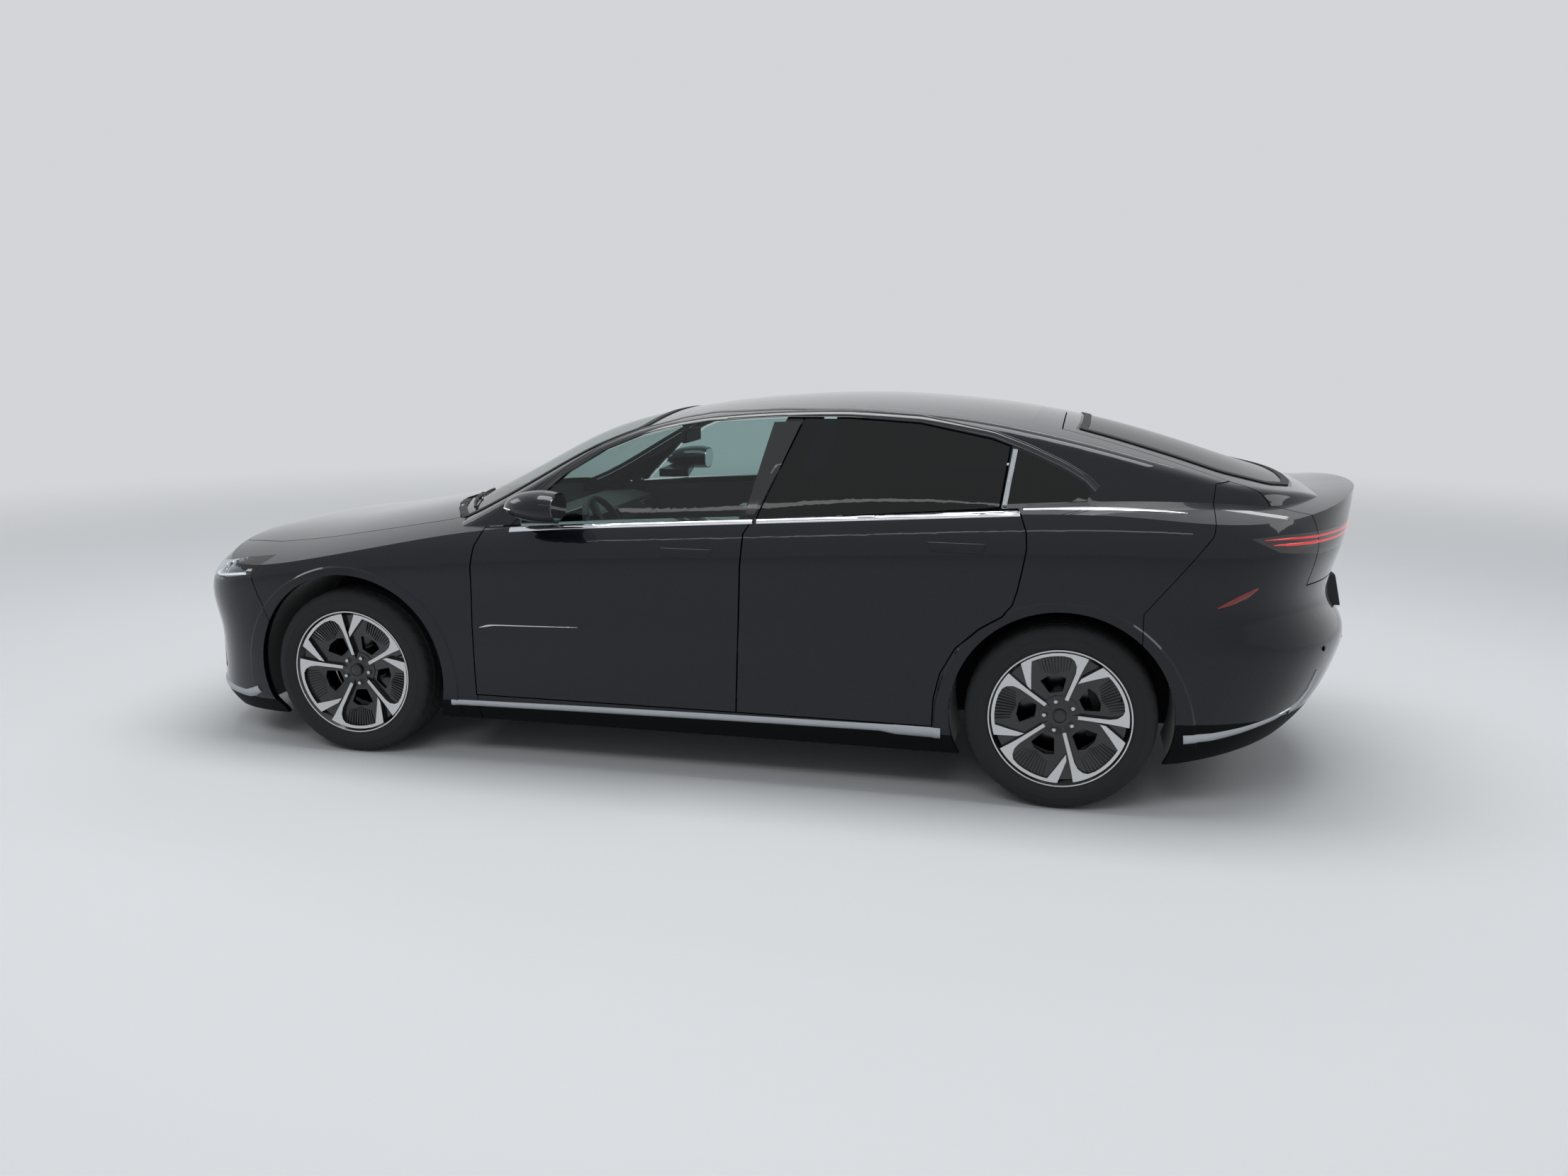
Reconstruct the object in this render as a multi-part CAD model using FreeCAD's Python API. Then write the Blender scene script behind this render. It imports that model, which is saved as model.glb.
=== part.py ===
import FreeCAD, Part
import math
import os

# Five-seat liftback sedan, all sizes in millimetres.
# +X points to the nose, +Y to the car's left side, +Z up, ground at z = 0.

V = FreeCAD.Vector
os.makedirs("parts", exist_ok=True)

# Overall size and stance
WIDTH = 1890.0
FRONT_AXLE_X = 1530.5
WHEELBASE = 2895.0
WHEEL_Y = 797.5

# Wheels and tyres
TYRE_RADIUS = 351.5
TYRE_WIDTH = 245.0
RIM_RADIUS = 249.0
RIM_WIDTH = 229.0
RIM_WALL = 9.0
DISC_RADIUS = 178.0
DISC_THICK = 26.0
HUB_RADIUS = 74.0
SPINDLE_RADIUS = 24.0
SPINDLE_PLAY = 0.05

TOW_BORE = 9.0

# Running clearances
SHUT_GAP = 5.0
SEAT_GAP = 0.3

# Panels and glass
SKIN = 24.0
GLASS = 5.0
ROOF_THICK = 34.0
DOOR_INNER_Y = 792.0

# Wheel openings
FRONT_ARCH_R = 420.0
REAR_ARCH_R = 406.0
LIP_WIDTH = 30.0
LIP_RISE = 6.0
LINER_THICK = 5.0

# Ground and sill heights
SILL_BOTTOM = 176.0
SILL_TOP = 286.0
FLOOR_Z = 262.0
FLOOR_THICK = 16.0
BATTERY_BOTTOM = 150.0
BATTERY_REAR_X = -930.0
BATTERY_LENGTH = 2000.0
BATTERY_WIDTH = 1390.0

# Seats and cabin fittings
SEAT_WIDTH = 520.0
SEAT_Y = 385.0
SEAT_Z = 300.0
FRONT_SEAT_X = -330.0
REAR_SEAT_X = -1210.0
WHEEL_RING_R = 178.0
WHEEL_GRIP_R = 15.0

HALF_W = WIDTH / 2
REAR_AXLE_X = FRONT_AXLE_X - WHEELBASE
WHEEL_Z = TYRE_RADIUS
RIM_SEAT = RIM_RADIUS - RIM_WALL


def smooth_curve(points):
    """Natural cubic curve through the points, returned as a function."""
    xs = [float(p[0]) for p in points]
    ys = [float(p[1]) for p in points]
    n = len(xs)
    h = [xs[i + 1] - xs[i] for i in range(n - 1)]
    a = [0.0] * n
    b = [1.0] * n
    c = [0.0] * n
    d = [0.0] * n
    for i in range(1, n - 1):
        a[i] = h[i - 1]
        b[i] = 2 * (h[i - 1] + h[i])
        c[i] = h[i]
        d[i] = 6 * ((ys[i + 1] - ys[i]) / h[i] - (ys[i] - ys[i - 1]) / h[i - 1])
    for i in range(1, n):
        w = a[i] / b[i - 1]
        b[i] -= w * c[i - 1]
        d[i] -= w * d[i - 1]
    m = [0.0] * n
    m[-1] = d[-1] / b[-1]
    for i in range(n - 2, -1, -1):
        m[i] = (d[i] - c[i] * m[i + 1]) / b[i]

    def value(x):
        i = 0
        while i < n - 2 and x > xs[i + 1]:
            i += 1
        if x < xs[0]:
            slope = (ys[1] - ys[0]) / h[0] - h[0] * (2 * m[0] + m[1]) / 6
            return ys[0] + slope * (x - xs[0])
        if x > xs[-1]:
            slope = (ys[-1] - ys[-2]) / h[-1] + h[-1] * (m[-2] + 2 * m[-1]) / 6
            return ys[-1] + slope * (x - xs[-1])
        p = xs[i + 1] - x
        q = x - xs[i]
        k = h[i]
        return (m[i] * p ** 3 + m[i + 1] * q ** 3) / (6 * k) + (ys[i] / k - m[i] * k / 6) * p + (
            ys[i + 1] / k - m[i + 1] * k / 6) * q

    return value


# Feature curves of the body, read from its side, plan and section
BELT = smooth_curve([(-2460, 1062), (-2100, 1098), (-1600, 1122), (-1196, 1110), (-214, 1049), (554, 1003),
                     (1000, 966), (1530, 912), (2000, 850), (2460, 772)])
TOP_CENTRE = smooth_curve([(-2470, 1160), (-2420, 1155), (-2340, 1148), (-2200, 1152), (-2000, 1172),
                           (-1600, 1208), (-1196, 1203), (-214, 1144), (554, 1098), (1000, 1056),
                           (1286, 1013), (1661, 948), (1892, 910), (2178, 872), (2306, 850), (2460, 812)])
NOSE_X = smooth_curve([(90, 2392), (123, 2418), (206, 2448), (310, 2434), (400, 2428), (510, 2438), (597, 2459),
                       (660, 2456), (710, 2438), (760, 2402), (820, 2335), (900, 2215), (1000, 2080), (1250, 1900)])
TAIL_X = smooth_curve([(100, -2040), (180, -2160), (240, -2250), (300, -2318), (362, -2368), (440, -2410),
                       (520, -2441), (585, -2457), (630, -2452), (680, -2424), (735, -2396), (790, -2388),
                       (860, -2400), (966, -2430), (1059, -2446), (1152, -2459), (1250, -2462)])
SECTION = smooth_curve([(0, 112), (0.08, 72), (0.14, 44), (0.22, 30), (0.39, 20), (0.58, 17), (0.74, 9),
                        (0.84, 2), (0.905, 9), (0.96, 33), (1.0, 62), (1.03, 88), (1.1, 152), (1.2, 250),
                        (1.35, 400)])
SECTION_ROWS = (0, 0.05, 0.1, 0.15, 0.22, 0.32, 0.43, 0.54, 0.64, 0.73, 0.8, 0.855, 0.9, 0.94, 0.975, 1.005, 1.03)
PLAN = smooth_curve([(-2460, 6), (-1900, 1), (-1364, 0), (-700, 9), (0, 14), (700, 14), (1300, 11), (1600, 10),
                     (2460, 16)])
GLASS_FOOT = smooth_curve([(-2400, 330), (-2300, 430), (-2242, 500), (-2132, 620), (-1950, 692), (-1770, 738), (-1417, 798), (-1000, 842),
                           (-214, 868), (554, 858), (900, 838), (1250, 806), (1500, 780)])
ROOF_CENTRE = smooth_curve([(-2460, 1040), (-2330, 1122), (-2226, 1165), (-2100, 1203), (-1902, 1268),
                            (-1616, 1354), (-1325, 1421), (-1028, 1462), (-726, 1485), (-500, 1490),
                            (-250, 1481), (0, 1461), (240, 1428), (450, 1386), (660, 1322), (964, 1172),
                            (1290, 1008), (1500, 903)])

NOSE_START = 1500.0
NOSE_POWER = 5.5
TAIL_START = -1500.0
TAIL_POWER = 3.4
CREST_DROP = 75.0
CREST_Y = 800.0
RAIL_ROUND = 46.0
SHIELD_SWEEP = 115.0
SHIELD_Y = 300.0


BODY_BASE = 100.0
BODY_LID = 1300.0


def side_y(x, z, inset=0.0):
    """Half width of the lower body at a station and height."""
    k = (z - BODY_BASE) / (BELT(x) - BODY_BASE)
    return HALF_W - SECTION(min(k, 1.2)) - PLAN(x) - inset


def top_z(x, y, inset=0.0):
    """Height of the hood, shoulder and tail deck surface."""
    return TOP_CENTRE(x) - CREST_DROP * (abs(y) / CREST_Y) ** 3 - inset


def ring_plan(t, z, inset):
    """Station and share of the half width: tail corner at t 0 to 1, side 1 to 2, nose corner 2 to 3."""
    if t < 1:
        turn = math.sin((1 - t) * math.pi / 2)
        x = TAIL_START + (TAIL_X(z) + inset - TAIL_START) * turn
        return x, math.sqrt(max(1 - turn ** TAIL_POWER, 0.0))
    if t > 2:
        turn = math.sin((t - 2) * math.pi / 2)
        x = NOSE_START + (NOSE_X(z) - inset - NOSE_START) * turn
        return x, math.sqrt(max(1 - turn ** NOSE_POWER, 0.0))
    return TAIL_START + (NOSE_START - TAIL_START) * (t - 1), 1.0


def ring_point(t, k, lift, side, inset=0.0):
    """Point on the side wall at a share k of the belt height, raised by a share of the way to the lid."""
    z = BODY_BASE + k * (BELT(0) - BODY_BASE)
    for _ in range(8):
        x, share = ring_plan(t, z, inset)
        z = BODY_BASE + k * (BELT(x) - BODY_BASE)
        z = z + (BODY_LID - z) * lift
    x, share = ring_plan(t, z, inset)
    k = (z - BODY_BASE) / (BELT(x) - BODY_BASE)
    return V(x, side * share * (HALF_W - SECTION(k) - PLAN(x) - inset), z)


def glass_y(x, z, inset=0.0):
    """Half width of the cabin sides, leaning in toward the roof."""
    h = z - BELT(x)
    foot = GLASS_FOOT(x) - inset
    if h < 0:
        return foot + 20 * (1 - math.exp(h * 0.45 / 20))
    return foot - 0.45 * h - 0.00025 * h * h


def roof_z(x, y, inset=0.0):
    """Height of windscreen, roof and rear glass as one surface."""
    front = 1.0 / (1.0 + math.exp(-(x - 250.0) / 90.0))
    sweep = SHIELD_SWEEP * (math.hypot(1.0, y / SHIELD_Y) - 1.0) * front
    crown = 38.0 - 12.0 * front + 22.0 / (1.0 + math.exp((x + 1150.0) / 120.0))
    if x < -1900:
        crown = crown * max(0.35, 1 + (x + 1900) / 450.0)
    return ROOF_CENTRE(x + sweep) - crown * (abs(y) / 620.0) ** 2 - inset


CABIN_BASE = 700.0
CABIN_REAR = -2300.0
CABIN_FRONT = 1400.0


def cabin_point(x, angle, inset_side=0.0, inset_top=0.0):
    """Point on the cabin's outer section at a station, by angle up from the left side."""
    dy = math.cos(angle)
    dz = math.sin(angle)
    low = 0.0
    high = 1400.0
    for _ in range(34):
        r = (low + high) / 2
        y = abs(r * dy)
        z = CABIN_BASE + r * dz
        f = glass_y(x, z, inset_side) - y
        g = roof_z(x, y, inset_top) - z
        k = RAIL_ROUND
        gap = max(k - abs(f - g), 0.0) / k
        inside = min(f, g) - gap * gap * gap * k / 6.0
        if inside > 0:
            low = r
        else:
            high = r
    return V(x, low * dy, CABIN_BASE + low * dz)


def rail_angle(x, inset_side, inset_top):
    """Angle at which side and roof meet at a station, where the rail is rounded."""
    low = 0.02
    high = math.pi / 2
    for _ in range(30):
        a = (low + high) / 2
        reach = 0.0
        top = 1400.0
        for _ in range(24):
            r = (reach + top) / 2
            if glass_y(x, CABIN_BASE + r * math.sin(a), inset_side) > r * math.cos(a):
                reach = r
            else:
                top = r
        if roof_z(x, reach * math.cos(a), inset_top) > CABIN_BASE + reach * math.sin(a):
            low = a
        else:
            high = a
    return low


def spread(a, b, n):
    return [a + (b - a) * i / (n - 1) for i in range(n)]


def poles_through(points):
    """Control points of the clamped cubic curve through evenly timed points, free of bending at its ends."""
    n = len(points)
    c = [0.0] * n
    d = [points[0]] + [p * 6.0 for p in points[1:-1]] + [points[-1]]
    d[1] = d[1] - d[0]
    d[n - 2] = d[n - 2] - d[n - 1]
    c[1] = 1.0 / 4.0
    d[1] = d[1] * c[1]
    for i in range(2, n - 1):
        c[i] = 1.0 / (4.0 - c[i - 1])
        d[i] = (d[i] - d[i - 1]) * c[i]
    for i in range(n - 3, 0, -1):
        d[i] = d[i] - d[i + 1] * c[i]
    first = (d[0] * 2.0 + d[1]) * (1.0 / 3.0)
    last = (d[-1] * 2.0 + d[-2]) * (1.0 / 3.0)
    return [points[0], first] + d[1:-1] + [last, points[-1]]


def surface(rows):
    """Smooth face through a grid of points."""
    across = [poles_through(row) for row in rows]
    columns = [poles_through([row[j] for row in across]) for j in range(len(across[0]))]
    poles = [[columns[j][i] for j in range(len(columns))] for i in range(len(columns[0]))]
    nu = len(rows)
    nv = len(rows[0])
    s = Part.BSplineSurface()
    s.buildFromPolesMultsKnots(poles, [4] + [1] * (nu - 2) + [4], [4] + [1] * (nv - 2) + [4],
                               [float(i) for i in range(nu)], [float(i) for i in range(nv)], False, False, 3, 3)
    return s.toShape()


def polygon_face(points):
    return Part.Face(Part.makePolygon(points + [points[0]]))


def side_prism(outline, y0, y1, lean=0.0):
    """Prism from an (x, z) outline between two y planes, its far face moved along x by lean."""
    pts = [V(p[0], y0, p[1]) for p in outline]
    return polygon_face(pts).extrude(V(lean, y1 - y0, 0))


def plan_prism(outline, z0, z1):
    pts = [V(p[0], p[1], z0) for p in outline]
    return polygon_face(pts).extrude(V(0, 0, z1 - z0))


def box(x0, x1, y0, y1, z0, z1):
    return Part.makeBox(x1 - x0, y1 - y0, z1 - z0, V(x0, y0, z0))


def cylinder_y(x, z, radius, y0, y1):
    return Part.makeCylinder(radius, y1 - y0, V(x, y0, z), V(0, 1, 0))


def mirrored(shape):
    return shape.mirror(V(0, 0, 0), V(0, 1, 0))


def both(shape):
    return [shape, mirrored(shape)]


def union(shapes):
    out = shapes[0]
    if len(shapes) > 1:
        out = out.fuse(shapes[1:])
    return out.removeSplitter()


def flat_at(edge, z):
    """True when the edge lies wholly at one height."""
    a = edge.FirstParameter
    b = edge.LastParameter
    return all(abs(edge.valueAt(a + (b - a) * k / 5).z - z) < 0.01 for k in range(6))


def lower_body(inset):
    """Full lower body as one solid, shrunk inward by the inset."""
    stations = spread(0, 1, 17) + spread(1, 2, 24)[1:] + spread(2, 3, 17)[1:]
    walls = []
    for side in (1, -1):
        levels = [(k, 0.0) for k in SECTION_ROWS] + [(SECTION_ROWS[-1], lift) for lift in (0.09, 0.22, 0.42, 0.69, 1.0)]
        walls.append(surface([[ring_point(t, k, lift, side, inset) for t in stations] for k, lift in levels]))
    ends = []
    for edge_z in (BODY_BASE, BODY_LID):
        edges = [e for wall in walls for e in wall.Edges if flat_at(e, edge_z)]
        ends.append(Part.Face(Part.Wire(Part.__sortEdges__(edges))))
    shell = Part.makeShell(walls + ends)
    shell.sewShape()
    solid = Part.makeSolid(shell)
    if solid.Volume < 0:
        solid.reverse()
    rows = []
    for x in spread(-2560, 2560, 47):
        rows.append([V(x, y, top_z(x, y, inset)) for y in spread(-1050, 1050, 19)])
    cap = surface(rows).extrude(V(0, 0, 900))
    return solid.cut(cap)


def cabin(inset_side, inset_top):
    """Cabin bulk above the shoulder, closed below."""
    rows = []
    for x in spread(CABIN_REAR, CABIN_FRONT, 50):
        rail = rail_angle(x, inset_side, inset_top)
        low = [rail * f for f in (0, 0.18, 0.36, 0.54, 0.7, 0.83, 0.92, 0.97)]
        high = [rail + (math.pi / 2 - rail) * f for f in (0.03, 0.08, 0.17, 0.3, 0.5, 0.75)]
        quarter = low + [rail] + high
        angles = quarter + [math.pi / 2] + [math.pi - a for a in reversed(quarter)]
        rows.append([cabin_point(x, a, inset_side, inset_top) for a in angles])
    skin = surface(rows)
    faces = [skin]
    ends = []
    low = []
    for e in skin.Edges:
        if flat_at(e, CABIN_BASE):
            low.append(e)
        else:
            line = Part.makeLine(e.Vertexes[-1].Point, e.Vertexes[0].Point)
            faces.append(Part.Face(Part.Wire(Part.__sortEdges__([e, line]))))
            ends.append(line)
    faces.append(Part.Face(Part.Wire(Part.__sortEdges__(low + ends))))
    shell = Part.makeShell(faces)
    shell.sewShape()
    solid = Part.makeSolid(shell)
    if solid.Volume < 0:
        solid.reverse()
    return solid




def belt_line(x0, x1, count, lift=0.0):
    return [(x, BELT(x) + lift) for x in spread(x0, x1, count)]


def grow(outline, gap):
    """Outline moved outward by the gap, corner by corner."""
    n = len(outline)
    area = sum(outline[i][0] * outline[(i + 1) % n][1] - outline[(i + 1) % n][0] * outline[i][1] for i in range(n))
    turn = 1.0 if area > 0 else -1.0
    out = []
    for i in range(n):
        p = outline[i - 1]
        q = outline[i]
        r = outline[(i + 1) % n]
        normals = []
        for s, e in ((p, q), (q, r)):
            dx = e[0] - s[0]
            dy = e[1] - s[1]
            k = math.hypot(dx, dy)
            normals.append((turn * dy / k, -turn * dx / k))
        mx = normals[0][0] + normals[1][0]
        my = normals[0][1] + normals[1][1]
        k = gap / max(1.0 + normals[0][0] * normals[1][0] + normals[0][1] * normals[1][1], 0.4)
        out.append((q[0] + mx * k, q[1] + my * k))
    return out


# Door outlines in side view, front edge first, then along the belt
DOOR_BOTTOM = SILL_TOP + SHUT_GAP
HINGE_F_X = 962.0
SPLIT_TOP_X = -206.0
SPLIT_LOW_X = -135.0
front_split = [(SPLIT_TOP_X, BELT(SPLIT_TOP_X)), (-169, 997), (-156, 875), (-146, 598), (SPLIT_LOW_X, DOOR_BOTTOM)]
front_door_line = [(HINGE_F_X, DOOR_BOTTOM), (HINGE_F_X, 596), (952, 830), (938, 905), (901, BELT(901))]
front_door_outline = front_door_line + belt_line(760, -80, 6) + front_split
rear_split = [(p[0] - SHUT_GAP - 1, p[1]) for p in front_split]
rear_door_tail = [(-1198, BELT(-1198)), (-1216, 1040), (-1217, 983), (-1207, 919), (-1191, 827), (-1176, 775),
                  (-1140, 730), (-1060, 680), (-975, 600), (-922, 500), (-900, 400), (-898, DOOR_BOTTOM)]
rear_door_outline = list(reversed(rear_split)) + belt_line(-350, -1060, 5) + rear_door_tail
HINGE_R_X = rear_split[-1][0]
DOOR_LEAN = 0.2

# Side window outlines
GLASS_GAP = 7.0
roof_edge = [(727, 1066), (596, 1186), (455, 1275), (315, 1333), (144, 1378), (30, 1397), (-254, 1415),
             (-534, 1418), (-806, 1402), (-1074, 1350), (-1206, 1302), (-1337, 1244), (-1412, 1200),
             (-1440, 1168), (-1430, 1134)]
GLASS_NOSE = (812, BELT(812))
B_TOP = (-353.0, 1416.5)
B_LOW = (SPLIT_TOP_X, BELT(SPLIT_TOP_X))
Q_TOP = (-1142.0, 1326.5)
Q_LOW = (-1114.0, BELT(-1114))
front_glass_outline = [GLASS_NOSE] + roof_edge[:7] + [B_TOP, B_LOW] + belt_line(-80, 700, 5)
rear_glass_outline = ([(B_LOW[0] - GLASS_GAP, BELT(B_LOW[0] - GLASS_GAP)), (B_TOP[0] - GLASS_GAP, B_TOP[1])]
                      + roof_edge[7:10] + [Q_TOP, Q_LOW] + belt_line(-1000, -350, 4))
BAR_WIDTH = 26.0
QUARTER_LIFT = 22.0
quarter_outline = ([(Q_LOW[0] - GLASS_GAP - BAR_WIDTH, BELT(Q_LOW[0]) + QUARTER_LIFT),
                    (Q_TOP[0] - GLASS_GAP - BAR_WIDTH, Q_TOP[1] - 12)] + roof_edge[10:14]
                   + [(-1424, BELT(-1420) + QUARTER_LIFT)])
opening_outline = [GLASS_NOSE] + roof_edge[:10] + [Q_TOP, Q_LOW] + belt_line(-1050, 760, 9)

# Plan outlines of hood, windscreen, roof panel and liftgate, left half from front to rear
HOOD_FRONT_X = 2392.0
HOOD_HINGE_X = 1090.0
hood_half = [(HOOD_FRONT_X, 0), (2384, 200), (2356, 380), (2300, 500), (2190, 600), (1980, 672), (1700, 706),
             (1400, 718), (1180, 716), (1104, 704), (1180, 560), (1262, 400), (1328, 200), (1350, 0)]
GATE_HINGE_X = -1330.0
gate_half = [(GATE_HINGE_X - 14, 0), (GATE_HINGE_X - 8, 250), (GATE_HINGE_X, 520), (-1600, 560), (-1900, 590),
             (-2060, 640), (-2200, 690), (-2420, 700), (-2600, 700), (-2600, 0)]
GATE_BOTTOM = 850.0


def whole(half):
    return half + [(p[0], -p[1]) for p in reversed(half) if abs(p[1]) > 0.5]


shield_half = [(1345, 0), (1290, 340), (1205, 560), (1110, 730), (1000, 748), (912, 744), (596, 698), (440, 658),
               (318, 620), (300, 540), (300, 300), (306, 0)]
roof_half = [(204, 0), (198, 300), (172, 545), (-300, 572), (-900, 552), (-1215, 508), (-1234, 250), (-1240, 0)]
rear_glass_half = [(-1402, 0), (-1394, 300), (-1378, 470), (-1620, 496), (-1900, 512), (-2100, 500), (-2176, 420),
                   (-2204, 250), (-2214, 0)]
tail_lamp_outline = [(-1985, 1036), (-2100, 1046), (-2600, 1042), (-2600, 966), (-2250, 962), (-2090, 984)]
bumper_outline = [(1902, 60), (1902, 560), (1946, 664), (1966, 735), (2600, 735), (2600, 60)]
fender_outline = [(967, SILL_BOTTOM), (967, 596), (957, 832), (943, 908), (905, 975), (880, 1060), (1100, 1100),
                  (2600, 1000), (2600, 738), (1962, 738), (1942, 664), (1899, 560), (1899, SILL_BOTTOM)]
rear_bumper_outline = [(-1640, 60), (-1640, 763), (-1700, 840), (-1860, 1046), (-1880, 1200), (-2600, 1250),
                       (-2600, 60)]
ARCH_INNER_Y = 478.0

LENS = 12.0
GRILLE_DEPTH = 13.0
grille_outline = [(-560, 300), (-470, 180), (470, 180), (560, 300), (470, 330), (-470, 330)]
lamp_outline = [(2520, 664), (2350, 690), (2150, 712), (1968, 738), (1897, 824), (2050, 806), (2250, 772),
                (2380, 746), (2520, 726)]
diffuser_line = [(-1600, 60), (-1600, 176), (-1790, 196), (-2140, 262), (-2600, 330), (-2600, 60)]
KINGPIN_Y = 745.0
RAIL_IN = 380.0
RAIL_OUT = 460.0
RAIL_LOW = 430.0
RAIL_TOP = 540.0
POST_FACE_Y = DOOR_INNER_Y - 8
nodes = {}


def across(outline):
    """Prism of an (x, z) outline over the whole width."""
    return polygon_face([V(p[0], -1100, p[1]) for p in outline]).extrude(V(0, 2200, 0))


def lean_prism(outline, gap=0.0):
    """Door prism whose edges lean forward toward the cabin, true to the outline near the outer skin."""
    shift = DOOR_LEAN * (925 - DOOR_INNER_Y + gap)
    pts = [(p[0] + shift, p[1]) for p in (grow(outline, gap) if gap else outline)]
    return side_prism(pts, DOOR_INNER_Y - gap, 1010, -DOOR_LEAN * (1010 - DOOR_INNER_Y + gap))


def largest(shape):
    return max(shape.Solids, key=lambda q: q.Volume)


def pair(shape):
    return Part.makeCompound([shape, mirrored(shape)])


def spun(profile, y0, x=0.0, z=0.0):
    """Solid turned about the Y axis from (radius, y) points."""
    pts = [V(p[0], p[1], 0) for p in profile]
    face = polygon_face(pts)
    solid = face.revolve(V(0, 0, 0), V(0, 1, 0), 360)
    solid.translate(V(x, y0, z))
    return solid


# Outer skin, inner skin and glass surfaces
outer_low = lower_body(0)
inner_low = lower_body(SKIN)
fit_low = lower_body(SKIN + SEAT_GAP)
lens_low = lower_body(LENS)
lens_room_low = lower_body(LENS + SEAT_GAP)
outer_cab = cabin(0, 0)
inner_cab = cabin(42, ROOF_THICK)
glass_cab = cabin(GLASS, GLASS)
front_zone = box(840, 2600, -1000, 1000, 60, 1250)
rear_zone = box(-2600, -880, -1000, 1000, 60, 1600)
roof_zone = box(-1500, 1400, -1000, 1000, 900, 1600)
proud_low = lower_body(-LIP_RISE)
lips = []
for lip_x, lip_r in ((FRONT_AXLE_X, FRONT_ARCH_R), (REAR_AXLE_X, REAR_ARCH_R)):
    flare = Part.makeCone(lip_r + LIP_WIDTH + 78, lip_r + LIP_WIDTH - 22, 100, V(lip_x, 860, WHEEL_Z), V(0, 1, 0))
    lips += both(proud_low.common(flare.common(box(lip_x - 600, lip_x + 600, 880, 960, SILL_BOTTOM, 900))))
outer = outer_low.fuse([outer_cab] + lips)
shell = outer.cut(inner_low.fuse(inner_cab))
slab_cab = outer_cab.cut(glass_cab).cut(outer_low)
front_shell = shell.common(front_zone)
rear_shell = shell.common(rear_zone)
front_arch = cylinder_y(FRONT_AXLE_X, WHEEL_Z, FRONT_ARCH_R, ARCH_INNER_Y, 1000)
rear_arch = cylinder_y(REAR_AXLE_X, WHEEL_Z, REAR_ARCH_R, ARCH_INNER_Y, 1000)

# Doors and side glass
door_f_cut = lean_prism(front_door_outline, SHUT_GAP)
door_r_cut = lean_prism(rear_door_outline, SHUT_GAP)
door_f = outer_low.common(lean_prism(front_door_outline))
door_r = outer_low.common(lean_prism(rear_door_outline))
nodes["door_front_left"] = door_f
nodes["door_rear_left"] = door_r
nodes["glass_front_left"] = slab_cab.common(side_prism(front_glass_outline, 400, 1000)).cut(door_f)
nodes["glass_rear_left"] = slab_cab.common(side_prism(rear_glass_outline, 400, 1000)).cut(door_r)
nodes["quarter_glass"] = pair(slab_cab.common(side_prism(quarter_outline, 400, 1000)))

# Hood, lamps, front bumper and fenders
hood_cut = plan_prism(grow(whole(hood_half), SHUT_GAP), 640, 1300)
hood_prism = plan_prism(whole(hood_half), 640, 1300)
lamp_cut = side_prism(grow(lamp_outline, SEAT_GAP), 330 - SEAT_GAP, 1000)
lamp_cuts = both(lamp_cut)
hood_nose = box(2000, 2600, -900, 900, 600, 745)
nodes["hood"] = front_shell.common(hood_prism).cut(lamp_cuts + [hood_nose, outer_cab])
lamp_back = lower_body(60)
headlamp = outer_low.common(side_prism(lamp_outline, 330, 1000)).cut(lamp_back)
nodes["headlamps"] = pair(headlamp)
recess_low = lower_body(GRILLE_DEPTH)
grille_prism = polygon_face([V(2000, y, z) for y, z in grille_outline]).extrude(V(600, 0, 0))
grille_cut = outer_low.common(grille_prism).cut(recess_low)
bumper_cut = across(grow(bumper_outline, 3.0))
tow_hole = Part.makeCylinder(34, 400, V(2200, -350, 492), V(1, 0, 0))
nodes["front_bumper"] = front_shell.common(across(bumper_outline)).cut(
    lamp_cuts + [hood_cut, grille_cut, tow_hole, box(1000, 3000, -1000, 1000, 0, 128)] + both(front_arch))
fender = front_shell.common(side_prism(fender_outline, 300, 1000)).cut(
    [lamp_cut, hood_cut, front_arch, door_f_cut, outer_cab])
nodes["fender_left"] = largest(fender)
nodes["fender_right"] = mirrored(largest(fender))

# Liftgate, rear glass, tail lamps and rear bumper
gate_prism = plan_prism(whole(gate_half), GATE_BOTTOM, 1600)
gate_cut = plan_prism(grow(whole(gate_half), SHUT_GAP), GATE_BOTTOM - SHUT_GAP, 1600)
rear_glass_cut = plan_prism(grow(whole(rear_glass_half), SEAT_GAP), 1050, 1600)
lens_skin = outer_low.cut(lens_low).common(rear_zone)
lamp_band = lens_skin.common(across(tail_lamp_outline))
lamp_room = outer_low.common(across(grow(tail_lamp_outline, SEAT_GAP))).cut(lens_room_low)
nodes["tailgate"] = rear_shell.common(gate_prism).cut([rear_glass_cut, lamp_room])
nodes["gate_lamp"] = lamp_band.common(gate_prism)
nodes["quarter_lamps"] = lamp_band.cut(gate_cut)
nodes["rear_glass"] = slab_cab.common(plan_prism(whole(rear_glass_half), 1050, 1600))
rear_bumper_cut = across(grow(rear_bumper_outline, 3.0))
rear_bumper = rear_shell.common(across(rear_bumper_outline)).cut(
    [gate_cut, lamp_room, across(diffuser_line)] + both(rear_arch))
gate_stop = box(TAIL_X(845) + 4, TAIL_X(845) + SKIN - 4, -60, 60, 830, GATE_BOTTOM - SEAT_GAP)
nodes["rear_bumper"] = largest(rear_bumper).fuse(gate_stop)

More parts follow.
